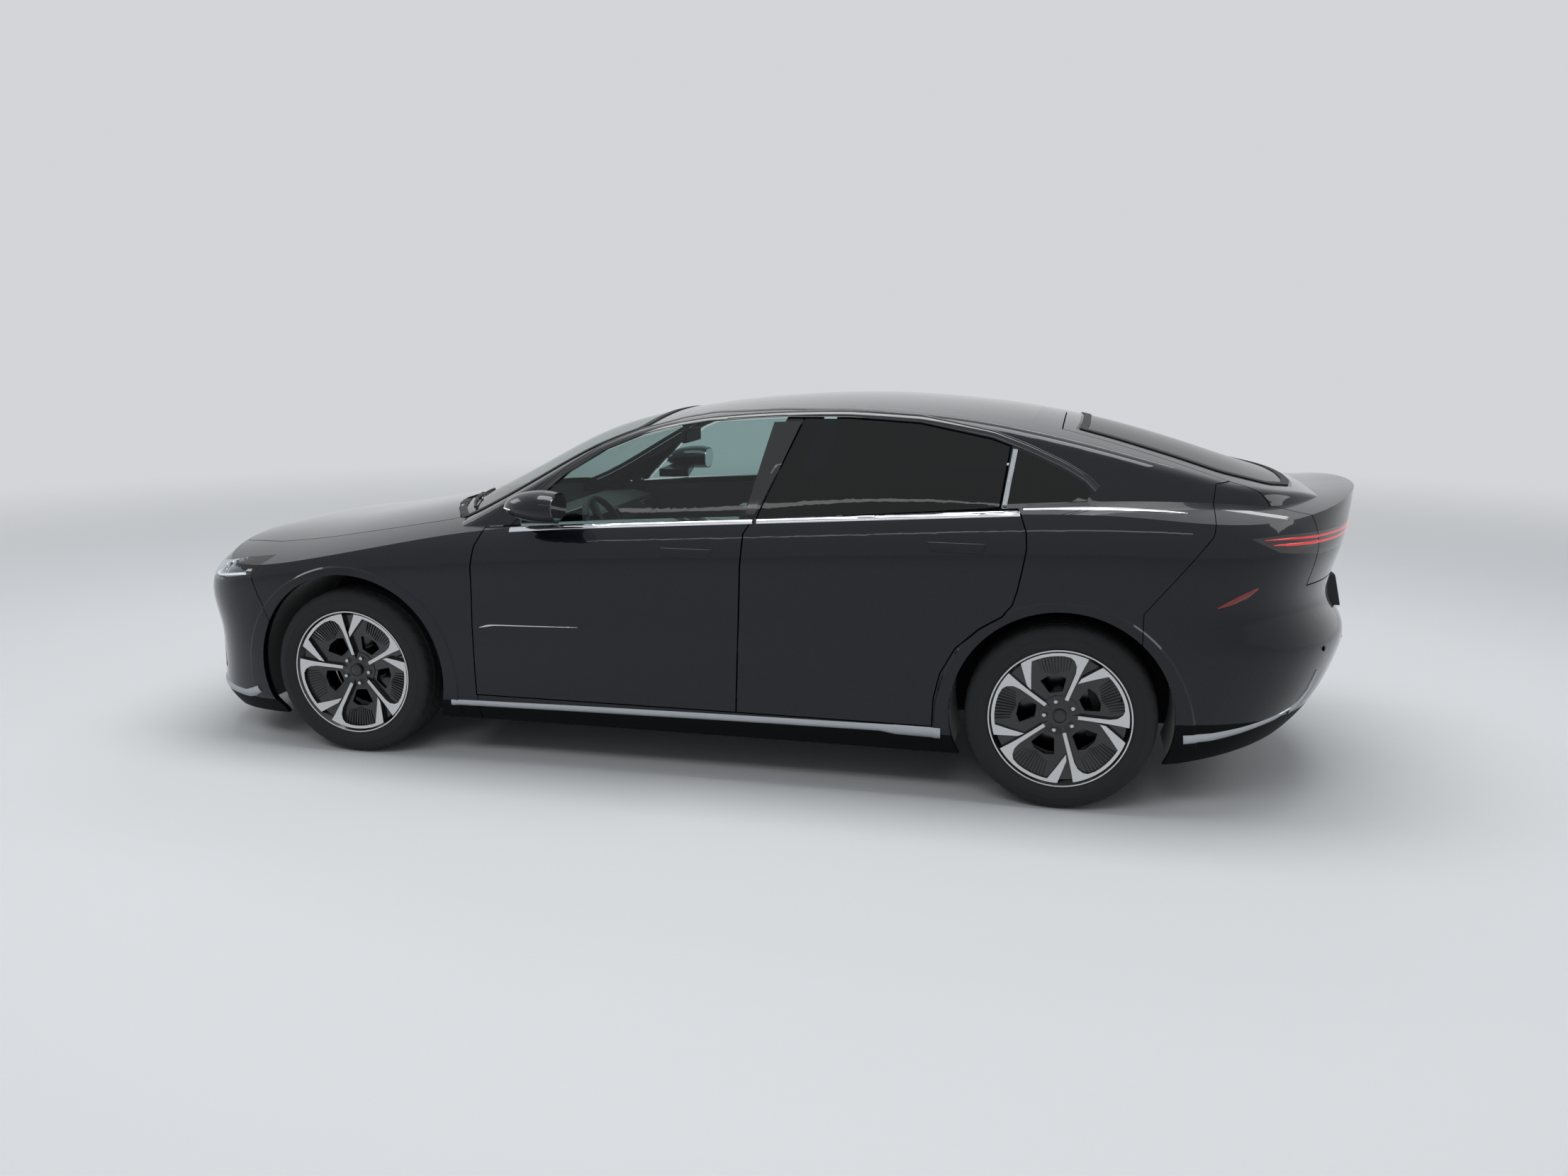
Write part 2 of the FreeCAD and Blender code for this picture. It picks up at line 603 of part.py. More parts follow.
# Windscreen, roof panel and body frame
nodes["windscreen"] = slab_cab.common(plan_prism(whole(shield_half), 940, 1500))
shield_cut = plan_prism(grow(whole(shield_half), SEAT_GAP), 940, 1500)
roof_cut = plan_prism(grow(whole(roof_half), SEAT_GAP), 1300, 1600)
nodes["roof_panel"] = shell.common(plan_prism(whole(roof_half), 1300, 1600))
opening = side_prism(grow(opening_outline, GLASS_GAP), 400, 1000)
quarter_hole = side_prism(grow(quarter_outline, SEAT_GAP), 400, 1000)
frame = shell.common(box(-2600, 1346, -1000, 1000, SILL_BOTTOM, 1600))
frame = frame.cut(both(door_f_cut) + both(door_r_cut) + both(opening) + both(quarter_hole) + both(rear_arch)
                  + both(side_prism(grow(fender_outline, 3.0), 300, 1000)))
frame = frame.cut([bumper_cut, hood_cut, gate_cut, shield_cut, roof_cut, lamp_room, rear_bumper_cut])
frame = largest(frame)
sill = outer_low.common(box(-906, 962, 700, 1000, SILL_BOTTOM, SILL_TOP)).cut(rear_arch)
sill_nose = fit_low.common(box(960, 1086, 700, 1000, SILL_BOTTOM, SILL_TOP))
a_post = box(860, 1070, 700, POST_FACE_Y, SILL_TOP - 20, 945)
a_flange = fit_low.common(box(1000, 1070, POST_FACE_Y - 10, 1000, 420, 880))
a_cap = outer.common(box(822, 872, 690, 800, 930, 1090)).cut([shield_cut, door_f_cut, opening])
a_foot = cabin(SEAT_GAP, SEAT_GAP).common(box(850, 1150, 560, 1000, 930, 1250)).cut(
    [inner_low, inner_cab, shield_cut, hood_cut, door_f_cut, opening])
b_post = box(-236, -120, 716, POST_FACE_Y, SILL_TOP - 20, 1088)
b_inner = cabin(60, 60)
b_outer = cabin(13, 13)
b_shoulder = b_outer.common(box(-262, -150, 716, 1000, 1058, 1090))
b_strip = b_outer.cut(b_inner).common(
    side_prism([(-306, 1058), (-150, 1058), (-296, 1450), (-430, 1450)], 600, 1000))
pads = []
for z in (420, 880):
    pads.append(box(905, 945, POST_FACE_Y - 1, DOOR_INNER_Y - SEAT_GAP, z - 30, z + 30))
    pads.append(box(-205, -165, POST_FACE_Y - 1, DOOR_INNER_Y - SEAT_GAP, z - 30, z + 30))
left_side = [sill, sill_nose, a_post, a_flange, a_cap, a_foot, b_post, b_shoulder, b_strip] + pads
right_side = [mirrored(q) for q in left_side]
frame = frame.fuse(left_side + right_side)
nodes["body_frame"] = frame

# Floor, firewall, rails and bumper beams
REAR_WALL_X = -1130.0
LINER_Y = 545.0
FRONT_LINER_Y = 466.0
floor = box(REAR_WALL_X, 1092, -700, 700, FLOOR_Z, FLOOR_Z + FLOOR_THICK)
firewall = box(1092, 1112, -700, 700, FLOOR_Z, 930)
riser = box(REAR_WALL_X, REAR_WALL_X + 20, -700, 700, FLOOR_Z, 440)
boot_floor = box(-2250, REAR_WALL_X + 5, -470, 470, 424, 440)
rails_f = both(box(1105, 2345, RAIL_IN, RAIL_OUT, RAIL_LOW, RAIL_TOP))
rails_r = both(box(-2255, REAR_WALL_X + 5, RAIL_IN, RAIL_OUT, 380, 430))
cross_f = box(1380, 1420, -RAIL_OUT, RAIL_OUT, RAIL_LOW, RAIL_TOP - 20)
beam_f = fit_low.common(box(2330, 2600, -520, 520, 445, 540))
beam_r = fit_low.common(box(-2600, -2250, -460, 460, 420, 500))
towers = both(box(1490, 1571, RAIL_IN, RAIL_OUT, RAIL_TOP - 10, 800).fuse(box(1490, 1571, RAIL_OUT - 5, 540, 740, 800)))
stops = []
stop_top = top_z(2214, 434) - SKIN - 0.8
for side in (1, -1):
    stops.append(Part.makeCylinder(14, stop_top - RAIL_TOP + 5, V(2200, side * 420, RAIL_TOP - 5)))
tow_boss = Part.makeCylinder(24, 100, V(2330, -350, 492), V(1, 0, 0))
tow_bore = Part.makeCylinder(TOW_BORE, 70, V(2360, -350, 492), V(1, 0, 0))
cowl = fit_low.common(box(1105, 1345, -640, 640, 925, 1100)).cut(hood_cut)
tower_room = box(1485, 1576, 400, 545, 735, 805)
house_f = cylinder_y(FRONT_AXLE_X, WHEEL_Z, FRONT_ARCH_R + 5 + LINER_THICK + SEAT_GAP, FRONT_LINER_Y - SEAT_GAP, 1000)
house_f = house_f.cut(tower_room)
house_r = cylinder_y(REAR_AXLE_X, WHEEL_Z, REAR_ARCH_R + 5 + LINER_THICK + SEAT_GAP, LINER_Y - SEAT_GAP, 1000)
floor_pan = union([floor, firewall, riser, boot_floor, cross_f, beam_f, beam_r, tow_boss, cowl] + rails_f + rails_r
                  + towers + stops)
floor_pan = floor_pan.cut([tow_bore] + both(house_f) + both(house_r))
nodes["floor_pan"] = floor_pan
battery = box(BATTERY_REAR_X, BATTERY_REAR_X + BATTERY_LENGTH, -BATTERY_WIDTH / 2, BATTERY_WIDTH / 2, BATTERY_BOTTOM, FLOOR_Z)
nodes["battery_pack"] = battery

# Wheel arch liners
def liner(x, radius, y0):
    ring = cylinder_y(x, WHEEL_Z, radius + 5 + LINER_THICK, y0, 1000).cut(cylinder_y(x, WHEEL_Z, radius + 5, y0, 1000))
    return ring.common(box(x - 600, x + 600, y0, 1000, 210, 900)).common(fit_low)


def inner_wall(x, radius, y0, hole):
    """Flat wall that closes the wheelhouse on its inner side, open below and around the axle."""
    disc = cylinder_y(x, WHEEL_Z, radius + 5 - SEAT_GAP, y0, y0 + 4)
    return disc.common(box(x - 600, x + 600, y0, 1000, 250, 900)).cut(hole)


liner_f = liner(FRONT_AXLE_X, FRONT_ARCH_R, FRONT_LINER_Y).cut(tower_room)
liner_r = liner(REAR_AXLE_X, REAR_ARCH_R, LINER_Y)
nodes["arch_liners"] = Part.makeCompound(both(liner_f) + both(liner_r))
shaft_hole = cylinder_y(FRONT_AXLE_X, WHEEL_Z, 48, 400, 600)
beam_hole = box(REAR_AXLE_X - 50, REAR_AXLE_X + 50, 500, 600, 200, 375)
wall_f = inner_wall(FRONT_AXLE_X, FRONT_ARCH_R, FRONT_LINER_Y, shaft_hole).cut(tower_room)
wall_r = inner_wall(REAR_AXLE_X, REAR_ARCH_R, LINER_Y, beam_hole)
nodes["wheelhouse_walls"] = Part.makeCompound(both(wall_f) + both(wall_r))

# Wheels: rim with petals and brake disc, tyre
rim_half = RIM_WIDTH / 2
SPOKES = 5
SPOKE_TURN = 70.8
FRONT_RIM_TURN = 30.2
DISC_Y = -52.0
DISH = 92.0
PETAL_RISE = 18.0


def face_point(r, degrees, shift=0.0):
    """Point of the wheel's face; degrees run up from the rear, shift is across the spoke."""
    a = math.radians(degrees)
    return V(-r * math.cos(a) + shift * math.sin(a), 0, r * math.sin(a) + shift * math.cos(a))


def petal(turn):
    """Thin spoke that widens at the rim, follows it and turns back inward as a hook."""
    edge = [face_point(r, turn, w) for r, w in ((40, -6.5), (120, -7), (178, -8.5), (215, -10.5), (240, -13), (262, -15))]
    edge += [face_point(RIM_RADIUS + 13, turn + d) for d in (2, 10, 18, 26, 34, 42, 50)]
    edge += [face_point(262, turn + 54.5), face_point(210, turn + 59.5), face_point(168, turn + 66),
             face_point(145, turn + 66.6), face_point(190, turn + 54.2), face_point(237, turn + 46.6)]
    edge += [face_point(RIM_RADIUS - 12, turn + d) for d in (42, 36, 30, 24, 18)]
    edge += [face_point(234, turn + 11.5), face_point(224, turn + 7.6), face_point(205, turn + 4.2)]
    edge += [face_point(r, turn, w) for r, w in ((178, 8.5), (120, 7), (40, 6.5))]
    return polygon_face(edge).extrude(V(0, 160, 0))


def window(turn):
    """Opening of the dark dish inside a petal, near the hub."""
    edge = [face_point(r, turn + d) for r, d in ((92, 15), (88, 30), (92, 45), (150, 50), (158, 38), (156, 22), (146, 12))]
    return polygon_face(edge).extrude(V(0, 160, 0))


def rim_shape():
    barrel = spun([(RIM_SEAT, -rim_half), (RIM_RADIUS + 12, -rim_half), (RIM_RADIUS + 12, -rim_half + 8),
                   (RIM_RADIUS, -rim_half + 12), (RIM_RADIUS, rim_half - 12), (RIM_RADIUS + 12, rim_half - 8),
                   (RIM_RADIUS + 12, rim_half), (RIM_RADIUS + 7, rim_half), (RIM_SEAT, rim_half - 24)], 0)
    hub = spun([(SPINDLE_RADIUS + SPINDLE_PLAY, DISC_Y - DISC_THICK / 2), (HUB_RADIUS, DISC_Y - DISC_THICK / 2),
                (HUB_RADIUS, 62), (40, 74), (SPINDLE_RADIUS + SPINDLE_PLAY, 74)], 0)
    disc = spun([(HUB_RADIUS - 5, DISC_Y - DISC_THICK / 2), (DISC_RADIUS, DISC_Y - DISC_THICK / 2),
                 (DISC_RADIUS, DISC_Y + DISC_THICK / 2), (HUB_RADIUS - 5, DISC_Y + DISC_THICK / 2)], 0)
    edge_r = RIM_RADIUS - 0.5
    face = [(edge_r, rim_half - 8), (180, DISH + 4), (100, DISH - 10), (38, DISH - 20)]
    back = [(38, 30), (100, 44), (180, 58), (edge_r, 66)]
    dish = spun([(r, y - PETAL_RISE) for r, y in face] + back, 0)
    petals = spun(face + [(38, 50), (100, 60), (180, 68), (edge_r, 76)], 0)
    turns = [SPOKE_TURN + 360.0 * k / SPOKES for k in range(SPOKES)]
    petals = petals.common(petal(turns[0]).fuse([petal(t) for t in turns[1:]]))
    dish = dish.cut([window(t) for t in turns])
    bore = cylinder_y(0, 0, SPINDLE_RADIUS + SPINDLE_PLAY, -200, 200)
    rim = barrel.fuse([hub, disc, dish, petals]).cut(bore)
    return rim.removeSplitter()


def tyre_shape():
    half = TYRE_WIDTH / 2
    r = TYRE_RADIUS
    return spun([(RIM_RADIUS + SEAT_GAP, -rim_half + 13), (RIM_RADIUS + SEAT_GAP, rim_half - 13),
                 (RIM_RADIUS + 12 + SEAT_GAP, rim_half - 8 - SEAT_GAP), (RIM_RADIUS + 14, rim_half - 1),
                 (RIM_RADIUS + 24, half - 3), (RIM_RADIUS + 52, half), (r - 34, half - 5), (r - 14, half - 14),
                 (r - 4, half - 28), (r, half - 52), (r, -half + 52), (r - 4, -half + 28), (r - 14, -half + 14),
                 (r - 34, -half + 5), (RIM_RADIUS + 52, -half), (RIM_RADIUS + 24, -half + 3),
                 (RIM_RADIUS + 14, -rim_half + 1), (RIM_RADIUS + 12 + SEAT_GAP, -rim_half + 8 + SEAT_GAP)], 0)


rear_rim = rim_shape()
front_rim = rear_rim.copy()
front_rim.rotate(V(0, 0, 0), V(0, 1, 0), FRONT_RIM_TURN)
tyre = tyre_shape()
for name, x, rim in (("front", FRONT_AXLE_X, front_rim), ("rear", REAR_AXLE_X, rear_rim)):
    for side in (1, -1):
        label = name + ("_left" if side > 0 else "_right")
        for kind, shape in (("rim_", rim), ("tyre_", tyre)):
            piece = shape.copy() if side > 0 else mirrored(shape)
            piece.translate(V(x, side * WHEEL_Y, WHEEL_Z))
            nodes[kind + label] = piece


def upright(x, pivot_y):
    """Hub carrier with spindle and brake caliper, left side."""
    inner_y = WHEEL_Y + DISC_Y - DISC_THICK / 2
    spindle = cylinder_y(x, WHEEL_Z, SPINDLE_RADIUS, inner_y - 60, WHEEL_Y + 66)
    boss = cylinder_y(x, WHEEL_Z, 62, inner_y - 62, inner_y - 6)
    post = box(x - 34, x + 34, inner_y - 62, inner_y - 16, WHEEL_Z - 115, WHEEL_Z + 168)
    caliper = spun([(118, -46), (222, -46), (222, 46), (118, 46)], WHEEL_Y + DISC_Y, x, WHEEL_Z)
    caliper = caliper.common(box(x - 300, x - 100, 0, 1000, WHEEL_Z - 95, WHEEL_Z + 95))
    slot = cylinder_y(x, WHEEL_Z, DISC_RADIUS + 6, WHEEL_Y + DISC_Y - DISC_THICK / 2 - 5, WHEEL_Y + DISC_Y + DISC_THICK / 2 + 5)
    arm = box(x - 160, x, inner_y - 40, inner_y - 16, WHEEL_Z - 30, WHEEL_Z + 30)
    return union([spindle, boss, post, caliper.cut(slot), arm])


knuckle = upright(FRONT_AXLE_X, KINGPIN_Y)
pin_low = WHEEL_Z - 115
pin_top = WHEEL_Z + 168
lug_low = box(FRONT_AXLE_X - 26, FRONT_AXLE_X + 26, 650, KINGPIN_Y + 26 - 60, pin_low, pin_low + 24)
knuckle = union([knuckle, lug_low])
nodes["knuckle_left"] = knuckle
nodes["knuckle_right"] = mirrored(knuckle)
arm_low = box(FRONT_AXLE_X - 30, FRONT_AXLE_X + 30, 300, 700, pin_low - SEAT_GAP - 26, pin_low - SEAT_GAP)
arm_top = box(FRONT_AXLE_X - 22, FRONT_AXLE_X + 22, 520, 700, pin_top + SEAT_GAP, pin_top + SEAT_GAP + 20)
strut = Part.makeCylinder(26, 740 - 222, V(FRONT_AXLE_X, 505, 222), V(0, 0, 1))
hanger = box(FRONT_AXLE_X - 30, FRONT_AXLE_X + 30, RAIL_IN + 5, RAIL_IN + 35, pin_low - 20, RAIL_LOW)
nodes["front_suspension"] = Part.makeCompound(both(union([arm_low, arm_top, strut, hanger])))
carrier = upright(REAR_AXLE_X, KINGPIN_Y)
beam = box(REAR_AXLE_X - 30, REAR_AXLE_X + 30, 0, 700, 300, 345)
beam_seat = box(REAR_AXLE_X - 30, REAR_AXLE_X + 30, RAIL_IN + 10, RAIL_OUT - 10, 340, 380)
nodes["rear_axle"] = union([carrier, mirrored(carrier), beam, mirrored(beam), beam_seat, mirrored(beam_seat)])
motor_r = box(REAR_AXLE_X - 260, REAR_AXLE_X - 40, -240, 240, 240, 424)
motor_f = box(1300, 1500, -240, 240, 240, RAIL_LOW)
nodes["drive_units"] = Part.makeCompound([motor_r, motor_f])

# Cabin fittings
dash = across([(1090, 640), (1090, 906), (1000, 940), (830, 948), (752, 930), (738, 850), (800, 760), (920, 640)])
dash = dash.common(box(600, 1100, -680, 680, 600, 1000))
console = across([(840, 800), (800, 740), (560, 560), (-120, 560), (-180, FLOOR_Z + FLOOR_THICK), (900, FLOOR_Z + FLOOR_THICK)])
console = console.common(box(-300, 1090, -120, 120, 250, 1000))
screen = across([(742, 930), (722, 932), (690, 700), (760, 700)]).common(box(600, 800, -150, 150, 600, 950))
nodes["dashboard"] = union([dash, console, screen])
ring = Part.makeTorus(WHEEL_RING_R, WHEEL_GRIP_R)
hub = Part.makeCylinder(60, 40, V(0, 0, -30))
bar = box(-WHEEL_RING_R, WHEEL_RING_R, -20, 20, -18, 6)
drop = box(-18, 18, -WHEEL_RING_R, 0, -18, 6)
stem = Part.makeCylinder(26, 210, V(0, 0, -225))
wheel = union([ring, hub, bar, drop, stem])
wheel.rotate(V(0, 0, 0), V(0, 0, 1), 90)
wheel.rotate(V(0, 0, 0), V(0, 1, 0), -66)
wheel.translate(V(575, SEAT_Y, 880))
nodes["steering_wheel"] = wheel.cut(nodes["dashboard"])


def seat(x, y, width, rear=False):
    back_top = 1210 if rear else 1180
    base = box(x - 20, x + 500, y - width / 2, y + width / 2, SEAT_Z + 60, SEAT_Z + 200)
    back = across([(x, SEAT_Z + 110), (x + 130, SEAT_Z + 130), (x - 60, back_top - 190), (x - 200, back_top - 190)])
    back = back.common(box(x - 600, x + 600, y - width / 2, y + width / 2, 0, 1500))
    return union([base, back])


front_seats = []
for side in (1, -1):
    one = seat(FRONT_SEAT_X + 140, side * SEAT_Y, SEAT_WIDTH)
    head = box(FRONT_SEAT_X - 90, FRONT_SEAT_X, side * SEAT_Y - 140, side * SEAT_Y + 140, 980, 1190)
    foot = box(FRONT_SEAT_X + 150, FRONT_SEAT_X + 560, side * SEAT_Y - 200, side * SEAT_Y + 200,
               FLOOR_Z + FLOOR_THICK, SEAT_Z + 70)
    front_seats.append(union([one, head, foot]))
nodes["front_seats"] = Part.makeCompound(front_seats)
bench = seat(REAR_SEAT_X + 130, 0, 1240, True)
bench_foot = box(REAR_SEAT_X + 260, REAR_SEAT_X + 600, -620, 620, FLOOR_Z + FLOOR_THICK, SEAT_Z + 70)
seat_room = both(cylinder_y(REAR_AXLE_X, WHEEL_Z, REAR_ARCH_R + 20, LINER_Y - 10, 1000))
nodes["rear_seat"] = largest(union([bench, bench_foot]).cut(seat_room))

# Door mirrors
def oval(x, y, z, half_w, half_h):
    """Oval wire in a plane across the car."""
    if half_w >= half_h:
        e = Part.Ellipse(V(x, y + half_w, z), V(x, y, z + half_h), V(x, y, z))
    else:
        e = Part.Ellipse(V(x, y, z + half_h), V(x, y + half_w, z), V(x, y, z))
    return Part.Wire(e.toShape())


mirror_head = Part.makeLoft([oval(532, 1010, 1090, 82, 55), oval(570, 1010, 1092, 86, 60), oval(650, 1004, 1092, 80, 56),
                             oval(720, 992, 1088, 56, 40), oval(756, 984, 1084, 24, 18)], True, False)
mirror_foot = Part.makeLoft([Part.makePolygon([V(760, 850, 1000), V(600, 850, 1000), V(600, 850, 1040), V(760, 850, 1040), V(760, 850, 1000)]),
                             Part.makePolygon([V(690, 960, 1040), V(600, 960, 1040), V(600, 960, 1070), V(690, 960, 1070), V(690, 960, 1040)])], True, True)
mirror_left = union([mirror_head, mirror_foot]).cut(door_f).cut(outer_cab)
nodes["mirror_left"] = largest(mirror_left)

for name in ("door_front", "door_rear", "glass_front", "glass_rear", "mirror"):
    nodes[name + "_right"] = mirrored(nodes[name + "_left"])

for name, shape in nodes.items():
    shape.exportStep("parts/" + name + ".step")
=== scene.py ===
import math

import bmesh
import bpy
from mathutils import Matrix, Vector
from mathutils.bvhtree import BVHTree


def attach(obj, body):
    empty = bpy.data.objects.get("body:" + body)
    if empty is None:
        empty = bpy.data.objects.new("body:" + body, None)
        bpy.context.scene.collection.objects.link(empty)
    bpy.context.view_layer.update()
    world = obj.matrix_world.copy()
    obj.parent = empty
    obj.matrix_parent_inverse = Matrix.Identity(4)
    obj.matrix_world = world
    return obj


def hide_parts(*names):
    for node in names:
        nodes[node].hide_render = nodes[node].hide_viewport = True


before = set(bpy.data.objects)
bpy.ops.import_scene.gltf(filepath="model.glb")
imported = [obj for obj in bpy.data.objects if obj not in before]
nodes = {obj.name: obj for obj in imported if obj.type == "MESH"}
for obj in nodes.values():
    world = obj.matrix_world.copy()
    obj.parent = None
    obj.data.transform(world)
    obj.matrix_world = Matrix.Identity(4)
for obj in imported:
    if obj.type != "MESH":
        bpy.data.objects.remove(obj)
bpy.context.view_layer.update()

FRONT_X = 1.5305
REAR_X = -1.3645
WHEEL_Y = 0.7975
WHEEL_Z = 0.3515
TYRE_R = 0.3515
SIDES = (("left", 1), ("right", -1))
CORNERS = [("front_left", FRONT_X, 1), ("front_right", FRONT_X, -1), ("rear_left", REAR_X, 1),
           ("rear_right", REAR_X, -1)]


# Materials
def tone(text):
    """Linear colour of an sRGB hex value."""
    parts = [int(text[i:i + 2], 16) / 255 for i in (1, 3, 5)]
    return [c / 12.92 if c <= 0.04045 else ((c + 0.055) / 1.055) ** 2.4 for c in parts] + [1.0]


def add(tree, kind, links=None, **settings):
    """One shader node: settings by attribute or by socket name, links as socket name to output socket."""
    made = tree.nodes.new(kind)
    for key, value in settings.items():
        if hasattr(made, key):
            setattr(made, key, value)
        else:
            made.inputs[key.replace("_", " ")].default_value = value
    for key, source in (links or {}).items():
        tree.links.new(source, made.inputs[key])
    return made


def finish_of(name, colour, metallic=0.0, roughness=0.5, **more):
    """A named material with its main shader; more sets further sockets."""
    material = bpy.data.materials.new(name)
    material.use_nodes = True
    tree = material.node_tree
    shader = tree.nodes["Principled BSDF"]
    shader.inputs["Base Color"].default_value = tone(colour)
    shader.inputs["Metallic"].default_value = metallic
    shader.inputs["Roughness"].default_value = roughness
    for key, value in more.items():
        shader.inputs[key.replace("_", " ")].default_value = value
    return material, tree, shader


def maths(tree, operation, *inputs):
    """Output of one maths node; each input is a number or an output socket."""
    made = add(tree, "ShaderNodeMath", operation=operation)
    for i, source in enumerate(inputs):
        if isinstance(source, float):
            made.inputs[i].default_value = source
        else:
            tree.links.new(source, made.inputs[i])
    return made.outputs[0]


def place(tree):
    """Position in the piece's own frame, in metres."""
    return add(tree, "ShaderNodeTexCoord").outputs["Object"]


def grain(tree, shader, size_mm, depth_mm, strength):
    """Fine relief whose grains are size_mm wide."""
    noise = add(tree, "ShaderNodeTexNoise", {"Vector": place(tree)}, Scale=1000.0 / size_mm, Detail=2.0)
    bump = add(tree, "ShaderNodeBump", {"Height": noise.outputs["Fac"]}, Strength=strength,
               Distance=depth_mm / 1000.0)
    tree.links.new(bump.outputs["Normal"], shader.inputs["Normal"])


def vary_roughness(tree, shader, size_mm, low, high):
    """Faint handling and dust marks in the gloss."""
    noise = add(tree, "ShaderNodeTexNoise", {"Vector": place(tree)}, Scale=1000.0 / size_mm, Detail=3.0)
    ranged = add(tree, "ShaderNodeMapRange", {"Value": noise.outputs["Fac"]})
    ranged.inputs["From Min"].default_value = 0.3
    ranged.inputs["From Max"].default_value = 0.7
    ranged.inputs["To Min"].default_value = low
    ranged.inputs["To Max"].default_value = high
    tree.links.new(ranged.outputs["Result"], shader.inputs["Roughness"])


def two_tones(tree, shader, fac, first, second):
    """Base colour mixed of two tones by a factor; gives the mixed colour."""
    mix = add(tree, "ShaderNodeMix", data_type="RGBA")
    tree.links.new(fac, mix.inputs[0])
    mix.inputs[6].default_value = tone(first)
    mix.inputs[7].default_value = tone(second)
    tree.links.new(mix.outputs[2], shader.inputs["Base Color"])
    return mix.outputs[2]


FLAKE_MM = 1.5  # real flakes are about 0.05 mm; drawn wider so that they show


def flaked_paint(name):
    """Near-black blue base coat with fine flake under a clear coat; gives its colour too."""
    material, tree, shader = finish_of(name, "#0d121c", 0.5, 0.34, Coat_Weight=1.0, Coat_Roughness=0.02, Coat_IOR=1.4,
                                       Specular_IOR_Level=0.1)
    flake = add(tree, "ShaderNodeTexVoronoi", {"Vector": place(tree)}, Scale=1000.0 / FLAKE_MM)
    colour = two_tones(tree, shader, flake.outputs["Distance"], "#10151f", "#040509")
    return material, tree, shader, colour


def clear_glass(name, tint, ior=1.5):
    """Tinted pane: clear to what lies behind it, mirroring on its outer faces as glass does."""
    material, tree, shader = finish_of(name, tint, 0.0, 0.0)
    tree.nodes.remove(shader)
    through = add(tree, "ShaderNodeBsdfTransparent", Color=tone(tint))
    gloss = add(tree, "ShaderNodeBsdfGlossy", Roughness=0.0)
    edge = add(tree, "ShaderNodeFresnel", IOR=ior)
    front = maths(tree, "SUBTRACT", 1.0, add(tree, "ShaderNodeNewGeometry").outputs["Backfacing"])
    share = maths(tree, "MULTIPLY", edge.outputs[0], front)
    both = add(tree, "ShaderNodeMixShader", {0: share, 1: through.outputs[0], 2: gloss.outputs[0]})
    tree.links.new(both.outputs[0], tree.nodes["Material Output"].inputs["Surface"])
    return material


def gloss_black():
    """Injection-moulded acrylic-capped ABS: black, mirror smooth."""
    material, tree, shader = finish_of("piano_black_abs", "#08090b", 0.0, 0.06, Coat_Weight=0.5, Coat_Roughness=0.03)
    vary_roughness(tree, shader, 60.0, 0.04, 0.12)
    return material


def matte(name, colour, rough, size, depth, strength, metallic=0.0, **more):
    """A finish with a fine grain: its size and depth in millimetres."""
    material, tree, shader = finish_of(name, colour, metallic, rough, **more)
    grain(tree, shader, size, depth, strength)
    return material


def satin_metal(name, colour, rough):
    """Plated or painted metal trim with a satin sheen."""
    material, tree, shader = finish_of(name, colour, 1.0, rough)
    vary_roughness(tree, shader, 25.0, rough - 0.04, rough + 0.06)
    return material


PAINT = flaked_paint("metallic_clearcoat_paint")[0]
PIANO = gloss_black()
PLASTIC = matte("grained_polypropylene", "#17181a", 0.62, 1.2, 0.15, 0.5)
CHROME = satin_metal("satin_chrome_trim", "#c4c8cc", 0.2)
BRIGHT = satin_metal("bright_chrome_trim", "#dfe2e6", 0.08)
SILVER = satin_metal("satin_silver_paint", "#aeb2b6", 0.34)
DARK_METAL = satin_metal("dark_chrome_bead", "#4a4d51", 0.3)
CLEAR = clear_glass("green_tinted_float_glass", "#dfe9e8")
SHIELD = clear_glass("laminated_windscreen_glass", "#e2ebe9")
PRIVACY = clear_glass("privacy_tinted_glass", "#3d464a")
LENS = clear_glass("clear_polycarbonate_lens", "#eef2f4", 1.58)
FELT = matte("needle_felt_liner", "#101112", 0.95, 0.8, 0.4, 0.9, Sheen_Weight=0.2)
RUBBER = matte("carbon_black_tyre_rubber", "#161718", 0.82, 0.9, 0.1, 0.35)
SEAL = matte("epdm_seal_rubber", "#0b0c0d", 0.7, 0.7, 0.05, 0.3)
STEEL = matte("cast_iron_grey", "#5c5f62", 0.45, 1.2, 0.1, 0.3, 0.9)
ECOAT = matte("e_coated_steel", "#131416", 0.55, 2.0, 0.05, 0.2, 0.2)
ALLOY = matte("die_cast_aluminium", "#8c9094", 0.5, 1.4, 0.12, 0.35, 0.9)
PACK = matte("extruded_aluminium_pack", "#75797d", 0.42, 2.0, 0.05, 0.2, 0.85)
UNDER = matte("pvc_underseal", "#1a1b1c", 0.85, 3.0, 0.5, 0.6)
CARPET = matte("tufted_carpet", "#131416", 0.98, 2.2, 0.8, 1.0, Sheen_Weight=0.3)
HEADLINE = matte("knitted_headliner", "#55534f", 0.95, 1.6, 0.2, 0.6, Sheen_Weight=0.3)
SOFT_TRIM = matte("slush_moulded_dash_skin", "#1b1c1e", 0.58, 1.6, 0.2, 0.5)
PLATE = matte("blank_number_plate", "#d9dbdc", 0.4, 3.0, 0.02, 0.1)


